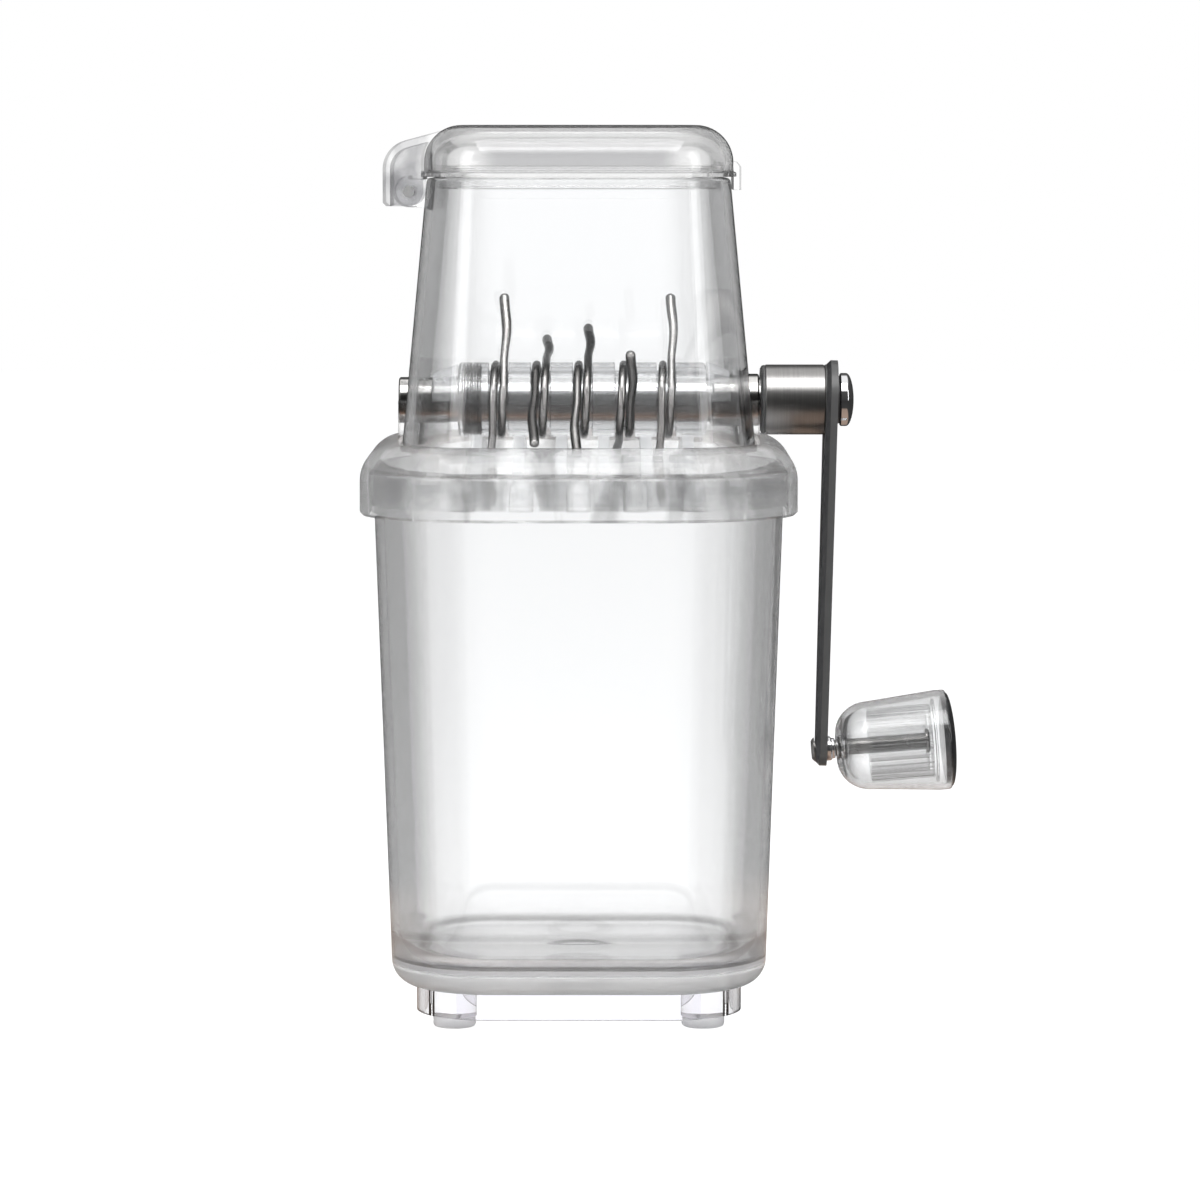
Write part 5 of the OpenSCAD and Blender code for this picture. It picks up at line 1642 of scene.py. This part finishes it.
@dataclass
class Knob:
    """The clear knob with its ribbed sleeve and dark end cap."""

    start: float = 2.6
    length: float = 32.6
    cap_t: float = 1.9
    small_r: float = 12.0
    big_r: float = 13.6
    dome_length: float = 9.0
    neck_r: float = 3.5
    wall: float = 1.6
    bore: float = 2.5
    rib_count: int = 36
    rib_h: float = 0.7
    rib_sides: Pair = (0.06, 0.80)
    core_bore_r: float = 2.25
    rim_r: float = 0.8
    sleeve_wall: float = 1.2
    sleeve_length: float = 17.1
    neck_walls: float = 1.5
    cap_gap: float = 0.02
    ring_inset: float = 0.6
    ring_z: Pair = (0.9, 0.2)
    ring_wall: float = 1.6
    ring_edge: float = 0.1

    def dome(self, neck: float, full: float, low: float, high: float) -> Profile:
        """Gives the rounded end of the knob from its neck to its full width."""
        return [(neck + (full - neck) * sin(radians(t)), low + (high - low) * (1 - cos(radians(t))))
                for t in DOME_ANGLES]

    def shell(self, at: Matrix) -> Piece:
        """Turns the clear outer shell."""
        end = self.length - self.cap_t
        wall, big, rim = self.wall, self.big_r, self.rim_r
        neck = self.neck_walls * wall
        profile = [
            (self.bore, 0), *self.dome(self.neck_r, self.small_r, 0, self.dome_length),
            (big, end - 2 * wall), (big, end - rim), *arc((big - rim, end - rim), rim, 0, 90, 5),
            (big - wall, end), (big - wall, end - 2 * wall),
            *reversed(self.dome(self.bore + wall, self.small_r - wall, neck, self.dome_length)),
            (self.bore, neck),
        ]
        return turned("knob_shell_turned", profile, at, edge=0)

    def sleeve(self, at: Matrix) -> Piece:
        """Extrudes the ribbed inner sleeve and hollows it."""
        root = self.small_r - self.wall - self.rib_h - LAYOUT.gap
        outline = []
        for k in range(2 * self.rib_count):
            r = root + (k % 2) * self.rib_h
            for side in self.rib_sides:
                t = radians(180 * (k + side) / self.rib_count)
                outline.append((r * cos(t), r * sin(t)))
        shift = at @ shifted(z=self.dome_length)
        piece = slab("knob_ribbed_sleeve", outline, 0, self.sleeve_length, shift)
        past = LAYOUT.clear
        hollow = rod(root - self.sleeve_wall, -past, self.sleeve_length - self.sleeve_wall,
                     self.core_bore_r + 2 * self.sleeve_wall)
        combine(piece, turned("hollow", hollow, shift), Join.CUT)
        bore = rod(self.core_bore_r, -past, self.sleeve_length + past)
        combine(piece, turned("bore", bore, shift, BORE_STEPS), Join.CUT)
        soften(piece, 0)
        return piece

    def cap(self, at: Matrix) -> Piece:
        """Turns the dark domed end cap."""
        end = self.length - self.cap_t
        start = end + self.cap_gap
        plug, rim = self.big_r - self.wall - self.cap_gap, self.big_r - self.wall / 2
        dome = [(rim * cos(radians(t)), start + self.cap_t * sin(radians(t))) for t in DOME_ANGLES]
        profile = [(0, end - self.wall), (plug, end - self.wall), (plug, start), *dome]
        return turned("knob_cap_turned", profile, at, edge=0)

    def rim_ring(self, at: Matrix) -> Piece:
        """Turns the thin white ring that shows inside the shell, before its rim."""
        end = self.length - self.cap_t - 2 * self.wall
        r, (low, high) = self.small_r - self.ring_inset, self.ring_z
        ring = rod(r, end - low, end - high, r - self.ring_wall)
        return turned("knob_rim_ring", ring, at, edge=self.ring_edge)

    def build(self, on_spindle: Matrix) -> None:
        """Makes all the pieces of the knob.

        Args:
            on_spindle: The spindle's frame.
        """
        at = on_spindle @ shifted(z=self.start)
        fit_in(self.shell(at), "knob", CLEAR_KNOB, ["knob_shell"])
        fit_in(self.sleeve(at), "knob", CLEAR_SLEEVE, ["knob_core"])
        fit_in(self.rim_ring(at), "knob", CLEAR_KNOB)
        fit_in(self.cap(at), "knob", CAP_BLACK, ["knob_cap"])


# The studio


@dataclass
class Studio:
    """The pale floor, the surroundings, the lamps and the camera."""

    floor_size: float = 8.0
    floor_pale: float = 0.80
    floor_glow: float = 0.82
    floor_shade: float = 0.35
    lens: float = 154.8
    eye: Place = (-0.0164, -1.400, 0.234)
    aim_down: float = 5.01
    clip: Pair = (0.01, 50.0)
    lit_point: Place = (0.0, 0.0, 0.12)
    fill: float = 0.55
    glass_strength: float = 1.12
    metal_share: float = 0.35
    card: Stops = (
        (0.03, grey(0.01)), (0.07, (0.42, 0.31, 0.25)), (0.20, (0.34, 0.26, 0.21)),
        *greys((0.26, 0.05), (1.0, 0.04)),
    )
    through_glass: Stops = greys((0.0, 1.0), (0.26, 1.0), (0.42, 0.60), (0.62, 0.60), (0.78, 1.0))
    in_metal: Stops = greys((0.0, 0.05), (0.60, 0.08), (0.74, 0.30), (0.82, 1.0), (1.0, 1.0))
    lamps: tuple[tuple[str, Place, Pair, float], ...] = (
        ("overhead_softbox", (0.0, -0.62, 1.2), (1.4, 0.8), 14.0),
        ("left_softbox", (-1.3, -0.9, 0.7), (0.5, 1.0), 5.0),
        ("right_softbox", (1.3, -0.7, 0.6), (0.4, 1.0), 4.0),
    )

    def mirrored(self, graph: Graph, path: bpy.types.NodeOutputs) -> Socket:
        """Gives the share of the darker surroundings for rays that a mirror sent on."""
        bounced = graph.math("MINIMUM", path["Glossy Depth"], 1.0)
        return graph.math("MULTIPLY", self.metal_share, bounced)

    def floor(self) -> None:
        """Lays the floor: white to the camera and through glass, and a brown card in reflections."""
        deselect()
        bpy.ops.mesh.primitive_plane_add(size=self.floor_size, location=(0, 0, 0))
        floor = bpy.context.object
        floor.name = "studio_floor"
        look = Look("studio_floor")
        pale = look.out("BsdfDiffuse", {"Color": grey(self.floor_pale)})
        glow = look.out("Emission", {"Color": WHITE, "Strength": self.floor_glow})
        shade = look.out("BsdfDiffuse", {"Color": grey(self.floor_shade)})
        seen = look.out("AddShader", {0: glow, 1: shade})
        brown = look.ramp(look.vector("LENGTH", look.place(), which="Value"), self.card)
        card = look.out("Emission", {"Color": brown})
        grey_card = look.out("Emission", {"Color": look.out("RGBToBW", {0: brown})})
        path = look.add("LightPath").outputs
        through = path["Is Transmission Ray"]
        dimmed = look.math("MULTIPLY", through, self.mirrored(look, path))
        shader = pale
        for ray, shown in ((path["Is Glossy Ray"], card), (path["Is Camera Ray"], seen),
                           (through, seen), (dimmed, grey_card)):
            shader = look.shaders(ray, shader, shown)
        floor.data.materials.append(look.finish(shader))

    def surroundings(self) -> None:
        """Makes the world white to the camera, and gives glass and metal their own surroundings."""
        world = bpy.data.worlds.new("studio")
        bpy.context.scene.world = world
        world.use_nodes = True
        graph = Graph(world.node_tree)
        graph.tree.nodes.clear()
        height = graph.part(graph.out("TexCoord", which="Generated"), "Z")
        path = graph.add("LightPath").outputs
        white = graph.out("Background", {"Color": WHITE})
        lit = graph.out("Background", {"Color": WHITE, "Strength": self.fill})
        glass = graph.out("Background", {"Color": graph.ramp(height, self.through_glass),
                                         "Strength": self.glass_strength})
        metal = graph.out("Background", {"Color": graph.ramp(height, self.in_metal)})
        inside = graph.shaders(self.mirrored(graph, path), glass, metal)
        shader = lit
        for ray, seen in (("Is Glossy Ray", metal), ("Is Transmission Ray", inside),
                          ("Is Camera Ray", white)):
            shader = graph.shaders(path[ray], shader, seen)
        graph.add("OutputWorld", {"Surface": shader})

    def lamp(self, name: str, at: Place, size: Pair, watts: float) -> None:
        """Hangs one soft rectangular lamp that looks at the object's middle.

        Args:
            name: Name of the lamp.
            at: Its place, in metres.
            size: Its width and height, in metres.
            watts: Its power.
        """
        deselect()
        way = (Vector(self.lit_point) - Vector(at)).to_track_quat("-Z", "Y")
        bpy.ops.object.light_add(type="AREA", location=at, rotation=way.to_euler())
        light = bpy.context.object
        light.name = name
        light.data.shape = "RECTANGLE"
        light.data.size, light.data.size_y = size
        light.data.energy = watts

    def camera(self) -> None:
        """Places the camera where the photograph was taken from."""
        deselect()
        bpy.ops.object.camera_add(location=self.eye, rotation=(radians(90 - self.aim_down), 0, 0))
        camera = bpy.context.object
        camera.data.lens = self.lens
        camera.data.clip_start, camera.data.clip_end = self.clip
        bpy.context.scene.camera = camera

    def build(self) -> None:
        """Sets up the whole studio."""
        self.floor()
        self.surroundings()
        for lamp in self.lamps:
            self.lamp(*lamp)
        self.camera()
        bpy.context.scene.view_settings.view_transform = "Standard"


def main() -> None:
    """Builds the sub-assemblies and the studio in order."""
    logging.basicConfig(level=logging.INFO, format="%(name)s: %(message)s")
    cup, head, crank = Cup(), Head(), Crank()
    cup.build()
    head.build(cup.flat)
    Lid().build(head.hopper_flat)
    Roller().build()
    crank.build()
    Knob().build(crank.on_spindle())
    Studio().build()


if __name__ == "__main__":
    main()
